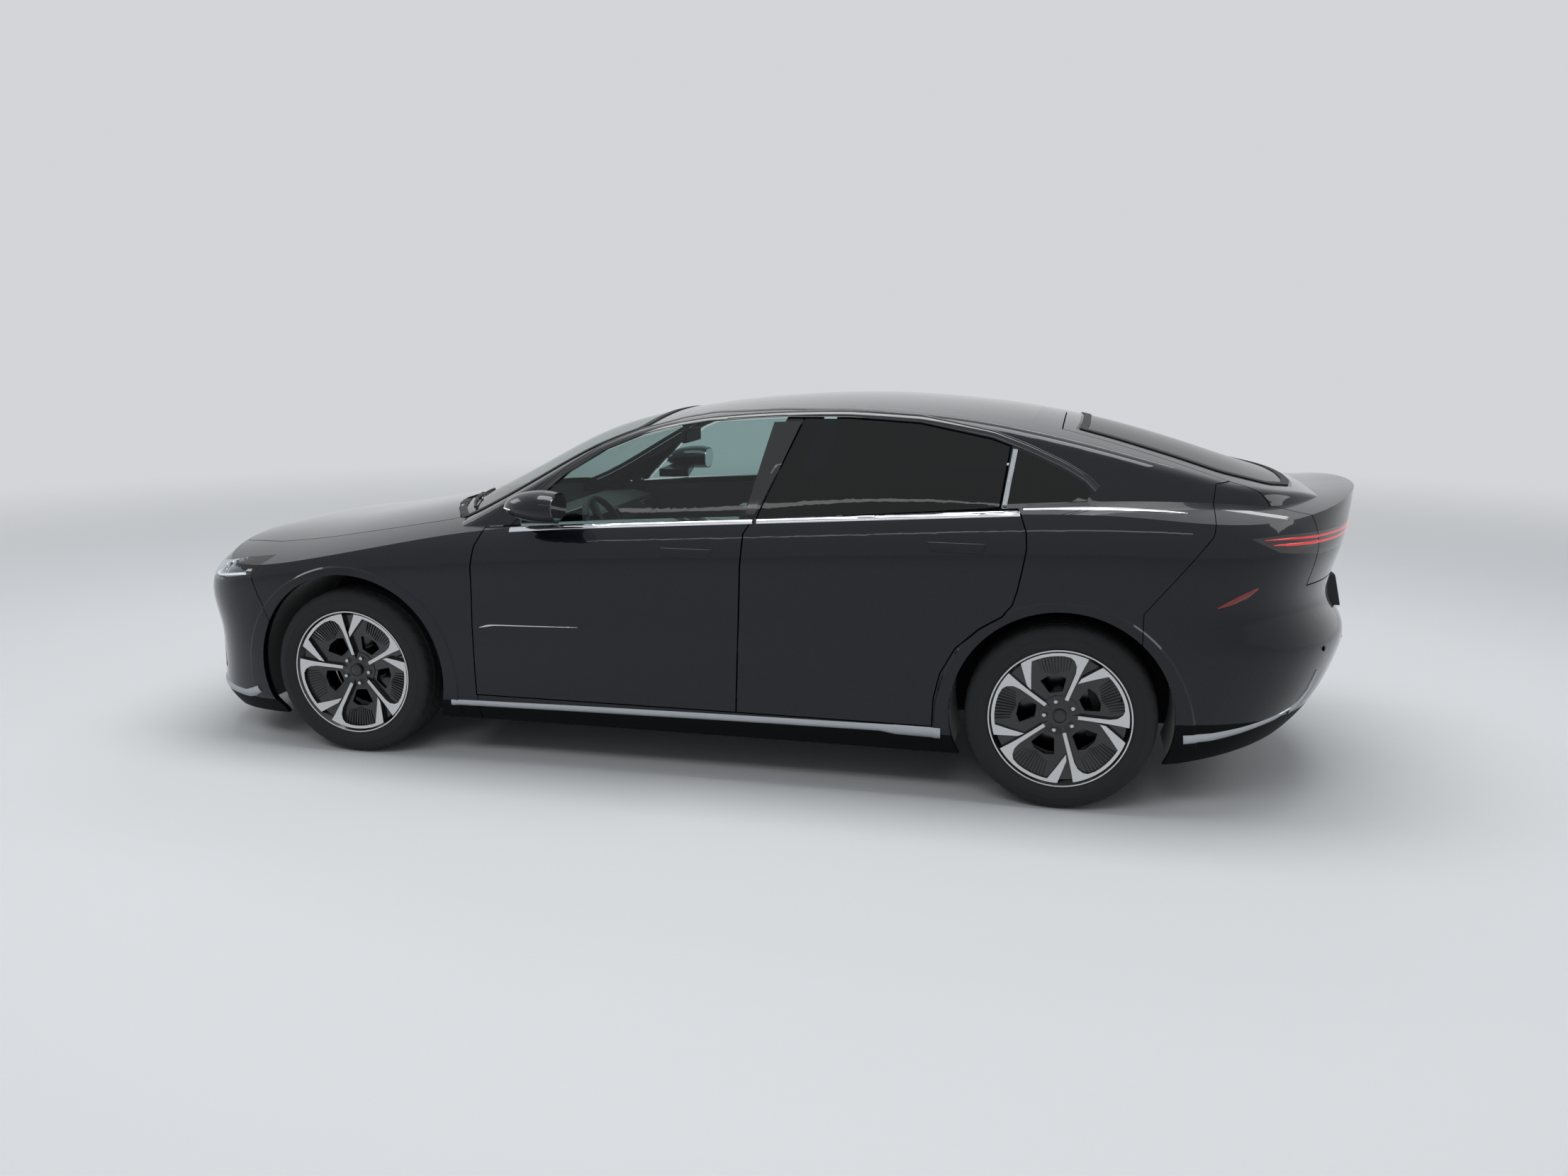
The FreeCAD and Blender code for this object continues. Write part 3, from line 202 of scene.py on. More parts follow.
def leather():
    """Artificial leather with a pebbled grain of about 2 mm."""
    material, tree, shader = finish_of("pebbled_artificial_leather", "#1e1f21", 0.0, 0.48, Sheen_Weight=0.15)
    cells = add(tree, "ShaderNodeTexVoronoi", {"Vector": place(tree)}, Scale=1000.0 / 2.2)
    bump = add(tree, "ShaderNodeBump", {"Height": cells.outputs["Distance"]}, Strength=0.5, Distance=0.0004)
    tree.links.new(bump.outputs["Normal"], shader.inputs["Normal"])
    two_tones(tree, shader, cells.outputs["Distance"], "#151617", "#242628")
    return material


LEATHER = leather()
RED = finish_of("red_acrylic_lens", "#8a0a0e", 0.0, 0.08, Coat_Weight=0.6, Emission_Color=tone("#ff1a1e"),
                Emission_Strength=0.45)[0]
REFLECTOR = matte("prismatic_red_reflector", "#6e070b", 0.12, 2.0, 0.1, 0.6, Coat_Weight=0.6)
SMOKED = finish_of("smoked_acrylic_lens", "#120508", 0.0, 0.05, Coat_Weight=0.8, Coat_Roughness=0.02)[0]
WHITE_LED = finish_of("daytime_lamp_guide", "#eef2f5", 0.0, 0.3, Emission_Color=tone("#ffffff"),
                      Emission_Strength=0.25)[0]
MIRROR = finish_of("silvered_mirror_glass", "#d8dcdf", 1.0, 0.02)[0]
SCREEN = finish_of("unlit_display_glass", "#050608", 0.0, 0.08, Coat_Weight=1.0, Coat_Roughness=0.02)[0]


# Mesh helpers
def piece(name, verts, faces, material, body, slot, smooth=True, replaces=(), bevel=0.0, angle=35.0):
    """One piece of the scene from corners and faces, riding on a body of the frame."""
    mesh = bpy.data.meshes.new(name)
    mesh.from_pydata([tuple(v) for v in verts], [], faces)
    work = bmesh.new()
    work.from_mesh(mesh)
    bmesh.ops.remove_doubles(work, verts=work.verts, dist=0.00001)
    bmesh.ops.recalc_face_normals(work, faces=work.faces)
    work.to_mesh(mesh)
    work.free()
    made = bpy.data.objects.new(name, mesh)
    bpy.context.scene.collection.objects.link(made)
    mesh.materials.append(material)
    if smooth:
        mesh.shade_smooth()
        mesh.set_sharp_from_angle(angle=math.radians(angle))
    if bevel:
        edge = made.modifiers.new("edge", "BEVEL")
        edge.width = bevel
        edge.segments = 2
        edge.limit_method = "ANGLE"
        edge.angle_limit = math.radians(40)
        edge.harden_normals = False
    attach(made, body)
    if replaces:
        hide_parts(*replaces)
    return made


def joined(parts):
    """One list of corners and faces from several."""
    verts = []
    faces = []
    for v, f in parts:
        base = len(verts)
        verts += list(v)
        faces += [[base + i for i in q] for q in f]
    return verts, faces


def grid_faces(rows, cols, close_rows=False, close_cols=False):
    """Four-sided faces between rows of corners, closed round in either direction."""
    faces = []
    for i in range(rows if close_rows else rows - 1):
        for j in range(cols if close_cols else cols - 1):
            a = i * cols + j
            b = i * cols + (j + 1) % cols
            c = ((i + 1) % rows) * cols + (j + 1) % cols
            d = ((i + 1) % rows) * cols + j
            faces.append([a, b, c, d])
    return faces


def tube(points, radius, sides):
    """Round bar along points; radius may be a list."""
    pts = [Vector(p) for p in points]
    n = len(pts)
    radii = radius if isinstance(radius, (list, tuple)) else [radius] * n
    verts = []
    up = None
    for i, p in enumerate(pts):
        d = pts[min(i + 1, n - 1)] - pts[max(i - 1, 0)]
        d.normalize()
        if up is None:
            up = d.orthogonal().normalized()
        up = (up - d * up.dot(d)).normalized()
        side = d.cross(up)
        for k in range(sides):
            a = 2 * math.pi * k / sides
            verts.append(p + (up * math.cos(a) + side * math.sin(a)) * radii[i])
    faces = grid_faces(n, sides, close_cols=True)
    faces.append(list(range(sides)))
    faces.append([(n - 1) * sides + k for k in range(sides)])
    return verts, faces


def lathe(profile, axis, steps):
    """Ring of (radius, along) points about an axis through the origin; the profile is closed."""
    verts = []
    for i in range(steps):
        a = 2 * math.pi * i / steps
        for r, t in profile:
            u, v = r * math.cos(a), r * math.sin(a)
            verts.append({"x": (t, u, v), "y": (u, t, v), "z": (u, v, t)}[axis])
    return verts, grid_faces(steps, len(profile), close_rows=True, close_cols=True)


def bowed(value, power):
    """A sine or cosine raised to a power with its sign kept: turns a circle into a rounded square."""
    return math.copysign(abs(value) ** power, value)


def brick(x0, x1, y0, y1, z0, z1):
    """Box between two corners."""
    verts = [(x, y, z) for x in (x0, x1) for y in (y0, y1) for z in (z0, z1)]
    faces = [[0, 1, 3, 2], [4, 6, 7, 5], [0, 4, 5, 1], [2, 3, 7, 6], [0, 2, 6, 4], [1, 5, 7, 3]]
    return verts, faces


def moved(part, x, y, z):
    """The part moved by three lengths."""
    return [(v[0] + x, v[1] + y, v[2] + z) for v in part[0]], part[1]


def flipped(part, side):
    """The part as drawn for the left side, or mirrored for the right."""
    verts, faces = part
    if side > 0:
        return part
    return [(v[0], -v[1], v[2]) for v in verts], [list(reversed(f)) for f in faces]


# The skin of the solids, on which trims are laid
def skin_tree(names):
    """Search tree over the faces of some solids."""
    verts = []
    faces = []
    for name in names:
        mesh = nodes[name].data
        base = len(verts)
        verts += [v.co.copy() for v in mesh.vertices]
        faces += [[base + i for i in p.vertices] for p in mesh.polygons]
    return BVHTree.FromPolygons(verts, faces)


OUTER = [n for n in nodes if n.split("_")[0] in ("hood", "door", "glass", "quarter", "headlamps", "fender",
                                                 "tailgate", "gate", "windscreen", "roof") or n in
         ("front_bumper", "rear_bumper", "rear_glass", "body_frame")]
SKIN = skin_tree(OUTER)


def cast(origin, direction, fallback):
    """Where a ray meets the skin, or the fallback where it meets none."""
    hit = SKIN.ray_cast(Vector(origin), Vector(direction))[0]
    return hit if hit is not None else Vector(fallback)


def on_side(x, z):
    """Point of the left skin at a station and height."""
    return cast((x, 1.3, z), (0, -1, 0), (x, 0.9, z))


def on_shoulder(x, z):
    """Point of the left shoulder, met on a slant from above; z is the height at its usual half width of 0.83."""
    return cast((x, 1.3, z + 0.47 * 0.6), Vector((0, -1, -0.6)).normalized(), (x, 0.83, z))


def on_tail(y, z):
    """Point of the tail's skin, met from behind."""
    return cast((-3.0, y, z), (1, 0, 0), (-2.4, y, z))


def on_nose(y, z):
    """Point of the nose's skin, met from the front."""
    return cast((3.0, y, z), (-1, 0, 0), (2.4, y, z))


def on_top(x, y):
    """Point of the upper skin, met from above."""
    return cast((x, y, 2.2), (0, 0, -1), (x, y, 1.0))


NOSE_CENTRE_X = 1.5
TAIL_CENTRE_X = -1.6


def around(centre_x, forward):
    """Projection onto a rounded corner: u is the angle from straight left toward the car's end."""
    def project(u, z):
        """Point of the skin at an angle and a height, met from outside."""
        away = Vector((math.sin(u) * forward, math.cos(u), 0.0))
        start = Vector((centre_x, 0.0, z)) + away * 2.4
        return cast(start, -away, start - away * 1.4)
    return project


nose_corner = around(NOSE_CENTRE_X, 1)
tail_corner = around(TAIL_CENTRE_X, -1)


def at_nose(x, y):
    """Angle about the nose's centre of a place in plan."""
    return math.atan2(x - NOSE_CENTRE_X, y)


def at_tail(x, y):
    """Angle about the tail's centre of a place in plan."""
    return math.atan2(TAIL_CENTRE_X - x, y)


def sunk(project, u, v, depth):
    """Point below the skin by a depth."""
    p, n = skin_frame(project, u, v)
    return p - n * depth


PATCH = 0.006


def skin_frame(project, u, v):
    """Point and outward normal of the skin, the normal taken over a small patch."""
    p = project(u, v)
    du = project(u + PATCH, v) - project(u - PATCH, v)
    dv = project(u, v + PATCH) - project(u, v - PATCH)
    n = du.cross(dv)
    if n.length < 1e-9:
        return p, Vector((0, 1, 0))
    n.normalize()
    middle = Vector((0.0, 0.0, 0.55))
    if (p - middle).dot(n) < 0:
        n = -n
    return p, n


def along(line, count):
    """Evenly spaced points on a line of corners."""
    lengths = [0.0]
    for a, b in zip(line, line[1:]):
        lengths.append(lengths[-1] + math.dist(a, b))
    out = []
    for i in range(count):
        s = lengths[-1] * i / (count - 1)
        k = 0
        while k < len(line) - 2 and s > lengths[k + 1]:
            k += 1
        t = (s - lengths[k]) / max(lengths[k + 1] - lengths[k], 1e-9)
        out.append(tuple(p + (q - p) * t for p, q in zip(line[k], line[k + 1])))
    return out


def smooth_line(line, count):
    """Points of a smooth curve through a line of corners."""
    out = []
    n = len(line)
    for i in range(count):
        s = (n - 1) * i / (count - 1)
        k = min(int(s), n - 2)
        t = s - k
        p0, p1, p2, p3 = (line[max(k - 1, 0)], line[k], line[k + 1], line[min(k + 2, n - 1)])
        out.append(tuple(0.5 * (2 * b + (c - a) * t + (2 * a - 5 * b + 4 * c - d) * t * t
                                + (3 * b - a - 3 * c + d) * t ** 3) for a, b, c, d in zip(p0, p1, p2, p3)))
    return out


RIBBON = [(-0.5, -0.7), (-0.5, 0.35), (-0.38, 0.8), (-0.15, 1.0), (0.15, 1.0), (0.38, 0.8), (0.5, 0.35), (0.5, -0.7)]


def ribbon(project, line, width, proud, count=40):
    """Moulding of a domed section laid on the skin along a line; width may differ at each corner."""
    if not isinstance(width, (list, tuple)):
        width = [width] * len(line)
    pts = along([tuple(p) + (w,) for p, w in zip(line, width)], count)
    verts = []
    for i, (u, v, w) in enumerate(pts):
        a = pts[max(i - 1, 0)]
        b = pts[min(i + 1, count - 1)]
        d = math.hypot(b[0] - a[0], b[1] - a[1])
        nu = -(b[1] - a[1]) / d
        nv = (b[0] - a[0]) / d
        for s, h in RIBBON:
            p, n = skin_frame(project, u + nu * w * s, v + nv * w * s)
            verts.append(p + n * proud * h)
    k = len(RIBBON)
    faces = grid_faces(count, k, close_cols=True)
    faces.append(list(range(k)))
    faces.append([(count - 1) * k + j for j in range(k)])
    return verts, faces


def panel(project, low, high, lift, thick, cols=24, rows=8, crown=0.0):
    """Closed plate on the skin between two lines, lifted by lift, crown higher in its middle."""
    a = along(low, cols)
    b = along(high, cols)
    top = []
    under = []
    for i in range(rows):
        t = i / (rows - 1)
        for j in range(cols):
            s = j / (cols - 1)
            u = a[j][0] + (b[j][0] - a[j][0]) * t
            v = a[j][1] + (b[j][1] - a[j][1]) * t
            p, n = skin_frame(project, u, v)
            swell = crown * (1 - (2 * t - 1) ** 4) * (1 - (2 * s - 1) ** 6)
            top.append(p + n * (lift + swell))
            under.append(p + n * (lift - thick))
    base = len(top)
    faces = grid_faces(rows, cols)
    faces += [[base + i for i in reversed(f)] for f in grid_faces(rows, cols)]
    rim = [j for j in range(cols)] + [i * cols + cols - 1 for i in range(1, rows)]
    rim += [(rows - 1) * cols + j for j in range(cols - 2, -1, -1)] + [i * cols for i in range(rows - 2, 0, -1)]
    for k in range(len(rim)):
        p = rim[k]
        q = rim[(k + 1) % len(rim)]
        faces.append([p, base + p, base + q, q])
    return top + under, faces


def rounded_frame(half_u, half_v, corner, steps=6):
    """Corner points of a rounded rectangle about the origin."""
    out = []
    for k, (su, sv) in enumerate(((1, 1), (-1, 1), (-1, -1), (1, -1))):
        for i in range(steps + 1):
            a = math.pi / 2 * (k + i / steps)
            out.append((su * (half_u - corner) + corner * math.cos(a), sv * (half_v - corner) + corner * math.sin(a)))
    return out


def both_sides(stem, part, material, body, slot, **more):
    """The part on the left, and its mirror image on the right, riding on the body of each side."""
    for name, side in SIDES:
        carrier = body.replace("SIDE", name)
        piece(stem + "_" + name, *flipped(part, side), material, carrier, slot, **more)


# Finishes of the solids that are shown as they are
def give(material, names):
    """The material on each named solid."""
    for name in names.split():
        mesh = nodes[name].data
        mesh.materials.clear()
        mesh.materials.append(material)


def masked_paint(name, low_z):
    """Body paint with black plastic below a height."""
    material, tree, shader, colour = flaked_paint(name)
    apart = add(tree, "ShaderNodeSeparateXYZ", {"Vector": place(tree)})
    low = maths(tree, "LESS_THAN", apart.outputs["Z"], low_z)
    black = add(tree, "ShaderNodeMix", data_type="RGBA")
    tree.links.new(low, black.inputs[0])
    tree.links.new(colour, black.inputs[6])
    black.inputs[7].default_value = tone("#111214")
    tree.links.new(black.outputs[2], shader.inputs["Base Color"])
    dull = add(tree, "ShaderNodeMapRange", {"Value": low}, To_Min=0.34, To_Max=0.6)
    tree.links.new(dull.outputs["Result"], shader.inputs["Roughness"])
    tree.links.new(maths(tree, "SUBTRACT", 1.0, low), shader.inputs["Coat Weight"])
    return material


FACING = 0.9
DISH_SLOPE = -0.164
DISH_DEPTH = 0.0597
DARK_HUB_R = 0.066


def wheel_finish(name, x, side):
    """Black wheel enamel; the petals and the outer lip are turned bright where they stand proud of the dish."""
    material, tree, shader = finish_of(name, "#0a0b0d", 0.0, 0.2, Coat_Weight=0.5, Coat_Roughness=0.05)
    coords = add(tree, "ShaderNodeTexCoord")
    face = add(tree, "ShaderNodeSeparateXYZ", {"Vector": coords.outputs["Normal"]})
    outward = maths(tree, "GREATER_THAN", maths(tree, "MULTIPLY", face.outputs["Y"], float(side)), FACING)
    off = add(tree, "ShaderNodeVectorMath", {0: coords.outputs["Object"]}, operation="SUBTRACT")
    off.inputs[1].default_value = (x, side * WHEEL_Y, WHEEL_Z)
    depth = add(tree, "ShaderNodeVectorMath", {0: off.outputs[0]}, operation="DOT_PRODUCT")
    depth.inputs[1].default_value = (0.0, float(side), 0.0)
    flat = add(tree, "ShaderNodeVectorMath", {0: off.outputs[0]}, operation="MULTIPLY")
    flat.inputs[1].default_value = (1.0, 0.0, 1.0)
    radius = add(tree, "ShaderNodeVectorMath", {0: flat.outputs[0]}, operation="LENGTH").outputs["Value"]
    cone = maths(tree, "MULTIPLY_ADD", radius, DISH_SLOPE, depth.outputs["Value"])
    arms = maths(tree, "GREATER_THAN", radius, DARK_HUB_R)
    proud = maths(tree, "MULTIPLY", maths(tree, "GREATER_THAN", cone, DISH_DEPTH), arms)
    bright = maths(tree, "MULTIPLY", outward, proud)
    two_tones(tree, shader, bright, "#0a0b0d", "#c9cacb")
    tree.links.new(bright, shader.inputs["Metallic"])
    return material


for material, names in (
        (PAINT, "hood tailgate mirror_left mirror_right"),
        (PAINT, "door_front_left door_front_right door_rear_left door_rear_right"),
        (masked_paint("metallic_clearcoat_paint_and_sill_black", 0.259), "body_frame fender_left fender_right"),
        (masked_paint("metallic_clearcoat_paint_and_valance_black", 0.200), "front_bumper"),
        (masked_paint("metallic_clearcoat_paint_and_rear_valance_black", 0.360), "rear_bumper"),
        (PIANO, "roof_panel"), (CLEAR, "glass_front_left glass_front_right"), (SHIELD, "windscreen"),
        (PRIVACY, "glass_rear_left glass_rear_right quarter_glass rear_glass"), (SMOKED, "gate_lamp quarter_lamps"),
        (LENS, "headlamps"), (UNDER, "floor_pan"), (PACK, "battery_pack"), (FELT, "arch_liners wheelhouse_walls"),
        (ECOAT, "front_suspension rear_axle"), (ALLOY, "drive_units"), (STEEL, "knuckle_left knuckle_right"),
        (SOFT_TRIM, "dashboard"), (PLASTIC, "steering_wheel"), (LEATHER, "front_seats rear_seat")):
    give(material, names)
for corner, x, side in CORNERS:
    give(wheel_finish("turned_and_enamelled_alloy_" + corner, x, side), "rim_" + corner)
    give(RUBBER, "tyre_" + corner)


# Side trims
ROOF_EDGE = [(0.727, 1.066), (0.596, 1.186), (0.455, 1.275), (0.315, 1.333), (0.144, 1.378), (0.030, 1.397),
             (-0.254, 1.415), (-0.534, 1.418), (-0.806, 1.402), (-1.074, 1.350), (-1.206, 1.302), (-1.337, 1.244),
             (-1.412, 1.200), (-1.446, 1.166)]


def belt(x):
    """Height of the belt line, from the corners of the door tops."""
    line = [(-2.1, 1.098), (-1.6, 1.122), (-1.196, 1.110), (-0.214, 1.049), (0.554, 1.003), (1.0, 0.966)]
    for a, b in zip(line, line[1:]):
        if x <= b[0]:
            return a[1] + (b[1] - a[1]) * (x - a[0]) / (b[0] - a[0])
    return line[-1][1]


def belt_strip(x0, x1):
    """Bright moulding along the belt line between two stations."""
    line = [(x0 + (x1 - x0) * i / 8, belt(x0 + (x1 - x0) * i / 8) - 0.009) for i in range(9)]
    return ribbon(on_side, line, 0.015, 0.0035, 30)


both_sides("belt_moulding_front", belt_strip(0.80, -0.198), BRIGHT, "door_front_SIDE", "satin_trim")
both_sides("belt_moulding_rear", belt_strip(-0.214, -1.192), BRIGHT, "door_rear_SIDE", "satin_trim")
tail_belt = [(-1.203, belt(-1.203) - 0.009), (-1.3, 1.108), (-1.417, 1.117), (-1.55, 1.119), (-1.68, 1.118),
             (-1.772, 1.112)]
both_sides("belt_moulding_tail", ribbon(on_shoulder, tail_belt, [0.015, 0.018, 0.027, 0.024, 0.014, 0.002],
                                        0.0035, 40),
           BRIGHT, "body", "satin_trim")


def outward(line, gap):
    """Line moved to its left-hand side by a gap."""
    out = []
    for i, p in enumerate(line):
        a = line[max(i - 1, 0)]
        b = line[min(i + 1, len(line) - 1)]
        d = math.dist(a, b)
        out.append((p[0] + (b[1] - a[1]) / d * gap, p[1] - (b[0] - a[0]) / d * gap))
    return out


def side_strip(stem, line, width, proud, count, material, slot="satin_trim", carrier="body"):
    """Moulding laid on both flanks along a line of X and Z."""
    both_sides(stem, ribbon(on_side, line, width, proud, count), material, carrier, slot)


side_strip("window_surround", outward(ROOF_EDGE, 0.019), 0.020, 0.002, 90, PIANO, "gloss_trim")
side_strip("window_bead", outward(ROOF_EDGE, 0.0325), 0.004, 0.0025, 90, DARK_METAL)
side_strip("quarter_divider", [(-1.134, 1.122), (-1.162, 1.318)], 0.017, 0.003, 16, SILVER)
both_sides("pillar_cover", panel(on_side, [(-0.165, 1.062), (-0.238, 1.402)], [(-0.214, 1.062), (-0.346, 1.406)],
                                 0.0012, 0.0018, 16, 5), PIANO, "door_front_SIDE", "gloss_trim")
side_strip("sill_moulding", [(1.082, 0.249), (0.6, 0.256), (0.0, 0.263), (-0.735, 0.270)],
           [0.024, 0.026, 0.027, 0.028], 0.006, 60, SILVER)
side_strip("sill_moulding_end", [(-0.70, 0.269), (-0.76, 0.266), (-0.93, 0.265)], [0.027, 0.040, 0.042], 0.007, 20,
           SILVER)
side_strip("door_blade", [(0.935, 0.577), (0.90, 0.586), (0.87, 0.590), (0.51, 0.598)],
           [0.002, 0.009, 0.005, 0.003], 0.003, 30, BRIGHT, carrier="door_front_SIDE")


def handle(x0, x1, z, height):
    """Flush pull and a dark sheet round it, painted shade of the gap; the pull is longer at its foot in front."""
    low = [(x0 - 0.022, z - height / 2), (x1 + 0.012, z - height / 2)]
    high = [(x0, z + height / 2), (x1, z + height / 2)]
    gap_low = [(low[0][0] + 0.004, low[0][1] - 0.003), (low[1][0] - 0.004, low[1][1] - 0.003)]
    gap_high = [(high[0][0] + 0.004, high[0][1] + 0.003), (high[1][0] - 0.004, high[1][1] + 0.003)]
    return (panel(on_side, low, high, 0.0032, 0.006, 30, 7, 0.0016),
            panel(on_side, gap_low, gap_high, 0.0006, 0.004, 30, 7))


for stem, body, x0, x1, z in (("front", "door_front_SIDE", 0.160, -0.052, 0.917),
                              ("rear", "door_rear_SIDE", -0.866, -1.078, 0.978)):
    pull, gap = handle(x0, x1, z, 0.034)
    both_sides("door_handle_" + stem, pull, PAINT, body, "paint", bevel=0.001)
    # the dark sheet round each pull is painted shade of the gap, given the seal rubber finish
    both_sides("door_handle_gap_" + stem, gap, SEAL, body, "seal")

# Lamp bars, reflectors and blades of the rear corner
side_strip("tail_bar_upper", [(-2.03, 1.030), (-2.12, 1.031), (-2.235, 1.028)], [0.002, 0.007, 0.008], 0.0025, 30,
           RED, "tail_lens")
side_strip("tail_bar_lower", [(-2.06, 1.012), (-2.12, 1.011), (-2.235, 1.009)], [0.002, 0.009, 0.010], 0.0025, 30,
           RED, "tail_lens")
side_strip("rear_reflector", [(-1.885, 0.792), (-1.935, 0.812), (-1.985, 0.838), (-2.02, 0.86)],
           [0.006, 0.017, 0.020, 0.006], 0.004, 24, REFLECTOR, "tail_lens")
side_strip("rear_blade_low", [(-1.80, 0.303), (-1.90, 0.312), (-2.00, 0.331), (-2.13, 0.362), (-2.19, 0.388)],
           [0.034, 0.030, 0.024, 0.016, 0.003], 0.005, 40, SILVER)


# Wheels
def tyre_part():
    """Left front tyre about its centre: rounded shoulders, four grooves, cut tread and sidewall rings."""
    profile = [(0.252, -0.100), (0.262, -0.111), (0.275, -0.1185), (0.285, -0.1215), (0.300, -0.1223),
               (0.301, -0.1235),
               (0.306, -0.1235), (0.307, -0.1221), (0.320, -0.1195), (0.333, -0.1150), (0.342, -0.1070)]
    tread = []
    for k in range(33):
        t = -0.098 + 0.196 * k / 32
        r = TYRE_R - 0.0006 - 0.004 * abs(t / 0.098) ** 3
        tread.append((r, t))
    ring = profile + tread + [(r, -t) for r, t in reversed(profile)]
    ring += [(0.2505, 0.098), (0.2505, -0.098)]
    steps = 216
    grooves = (-0.062, -0.021, 0.021, 0.062)
    verts = []
    for i in range(steps):
        a = 2 * math.pi * i / steps
        for r, t in ring:
            if r > 0.343:
                near = min(abs(t - g) for g in grooves)
                if near < 0.0045:
                    r = r - 0.0065
                else:
                    outer_rib = abs(t) > 0.066
                    phase = (i + int(abs(t) * 90)) % (6 if outer_rib else 4)
                    if phase == 0:
                        r = r - (0.0045 if outer_rib else 0.0025)
            elif 0.333 < r <= 0.343 and i % 6 == 0:
                r = r - 0.0022
            verts.append((r * math.cos(a), t, r * math.sin(a)))
    return verts, grid_faces(steps, len(ring), close_rows=True, close_cols=True)


def turned_by(part, degrees):
    """Part turned about the wheel's axle, counter-clockwise seen from the left."""
    a = math.radians(degrees)
    c, s = math.cos(a), math.sin(a)
    return [(v[0] * c + v[2] * s, v[1], -v[0] * s + v[2] * c) for v in part[0]], part[1]


def polar(r, degrees, y):
    """Point of the wheel face; degrees run counter-clockwise seen from the left, from the rear-facing side."""
    a = math.radians(degrees)
    return (-r * math.cos(a), y, r * math.sin(a))


def lug_nut(r, degrees, y):
    """Hexagonal nut with a domed cap in its pocket."""
    profile = [(0.0001, 0.024), (0.005, 0.0235), (0.0085, 0.021), (0.0098, 0.017), (0.0098, 0.003), (0.0125, 0.001),
               (0.0125, -0.004), (0.0001, -0.004)]
    return moved(lathe(profile, "y", 6), *polar(r, degrees, y))


def centre_cap():
    """Plain stepped cap over the wheel's bore."""
    profile = [(0.0001, 0.014), (0.012, 0.0138), (0.020, 0.0125), (0.0225, 0.0105), (0.0235, 0.0125),
               (0.0268, 0.0122), (0.0275, 0.009), (0.0275, -0.004), (0.0001, -0.004)]
    return moved(lathe(profile, "y", 48), 0, 0.074, 0)


def rib_insert(k):
    """Ribbed black insert in the outer field between a spoke and the hook of its petal."""
    parts = []
    start = 72.0 * k + 70.8
    for i in range(11):
        t = i / 10
        y = 0.083 + 0.0015 * t
        a = start + 11 + 31 * t
        inner = polar(0.160 + 0.02 * abs(2 * t - 1), a, y - 0.004)
        outer = polar(0.238, a, y + 0.008)
        parts.append(tube([inner, outer], [0.0018, 0.0024], 6))
    return joined(parts)


BOLT_CIRCLE = 0.057
FRONT_RIM_TURN = 30.2
for corner, x, side in CORNERS:
    where = (x, side * WHEEL_Y, WHEEL_Z)
    wheel = "wheel_" + corner
    spin = FRONT_RIM_TURN if x > 0 else 0.0
    tyre = moved(flipped(tyre_part(), side), *where)
    piece("tread_tyre_" + corner, *tyre, RUBBER, wheel, "tyre_rubber", replaces=["tyre_" + corner], angle=28)
    nuts = joined([lug_nut(BOLT_CIRCLE, 72 * k + 34.8, 0.062) for k in range(5)])
    piece("lug_nuts_" + corner, *moved(flipped(turned_by(nuts, spin), side), *where), CHROME, wheel, "rim_metal",
          angle=30)
    piece("centre_cap_" + corner, *moved(flipped(centre_cap(), side), *where), PIANO, wheel, "roof_finish")
    ribs = joined([rib_insert(k) for k in range(5)])
    piece("wheel_insert_ribs_" + corner, *moved(flipped(turned_by(ribs, spin), side), *where), PIANO, wheel,
          "roof_finish")
    valve = tube([polar(0.232, 20, 0.085), polar(0.222, 20, 0.108)], [0.0035, 0.0025], 10)
    piece("tyre_valve_" + corner, *moved(flipped(valve, side), *where), SEAL, wheel, "tyre_rubber")


# Front: lamps, grille, blades
def lamp_low(x):
    """Height of the lamp's lower edge at a station."""
    return 0.685 + 0.055 * max(0.0, (2.42 - x) / 0.45) ** 1.2


def lamp_line(points, lift):
    """Line along the lamp's lower edge, as corner angle and height."""
    return [(at_nose(x, y), lamp_low(x) + lift) for x, y in points]


LAMP_PATH = [(2.405, 0.40), (2.36, 0.55), (2.26, 0.69), (2.12, 0.80), (1.985, 0.86)]
low_edge = lamp_line(LAMP_PATH, 0.008)
high_edge = [(u, z + h) for (u, z), h in zip(lamp_line(LAMP_PATH, 0.0), (0.050, 0.056, 0.068, 0.078, 0.060))]
both_sides("lamp_housing", panel(nose_corner, low_edge, high_edge, -0.040, 0.006, 40, 8), PIANO, "body", "gloss_trim")
guide = [sunk(nose_corner, u, z, 0.014) for u, z in along(lamp_line(LAMP_PATH, 0.014), 60)]
both_sides("lamp_guide", tube(guide, 0.0048, 10), WHITE_LED, "body", "lamp_lens")
guide_shelf = panel(nose_corner, lamp_line(LAMP_PATH, 0.021), lamp_line(LAMP_PATH, 0.024), -0.016, 0.026, 60, 3)
both_sides("lamp_shelf", guide_shelf, BRIGHT, "body", "satin_trim")


def projector(u, z, r):
    """Projector lens in its bezel, facing forward and a little outward."""
    p, n = skin_frame(nose_corner, u, z)
    profile = [(0.0001, 0.010), (r * 0.4, 0.0085), (r * 0.7, 0.0055), (r * 0.88, 0.001), (r, 0.002),
               (r * 1.12, 0.004),
               (r * 1.2, 0.001), (r * 1.2, -0.012), (0.0001, -0.012)]
    verts, faces = lathe(profile, "x", 40)
    swing = math.radians(14)
    spot = p - n * 0.030
    turned = [(v[0] * math.cos(swing) - v[1] * math.sin(swing) + spot.x,
               v[0] * math.sin(swing) + v[1] * math.cos(swing) + spot.y,
               v[2] + spot.z) for v in verts]
    return turned, faces


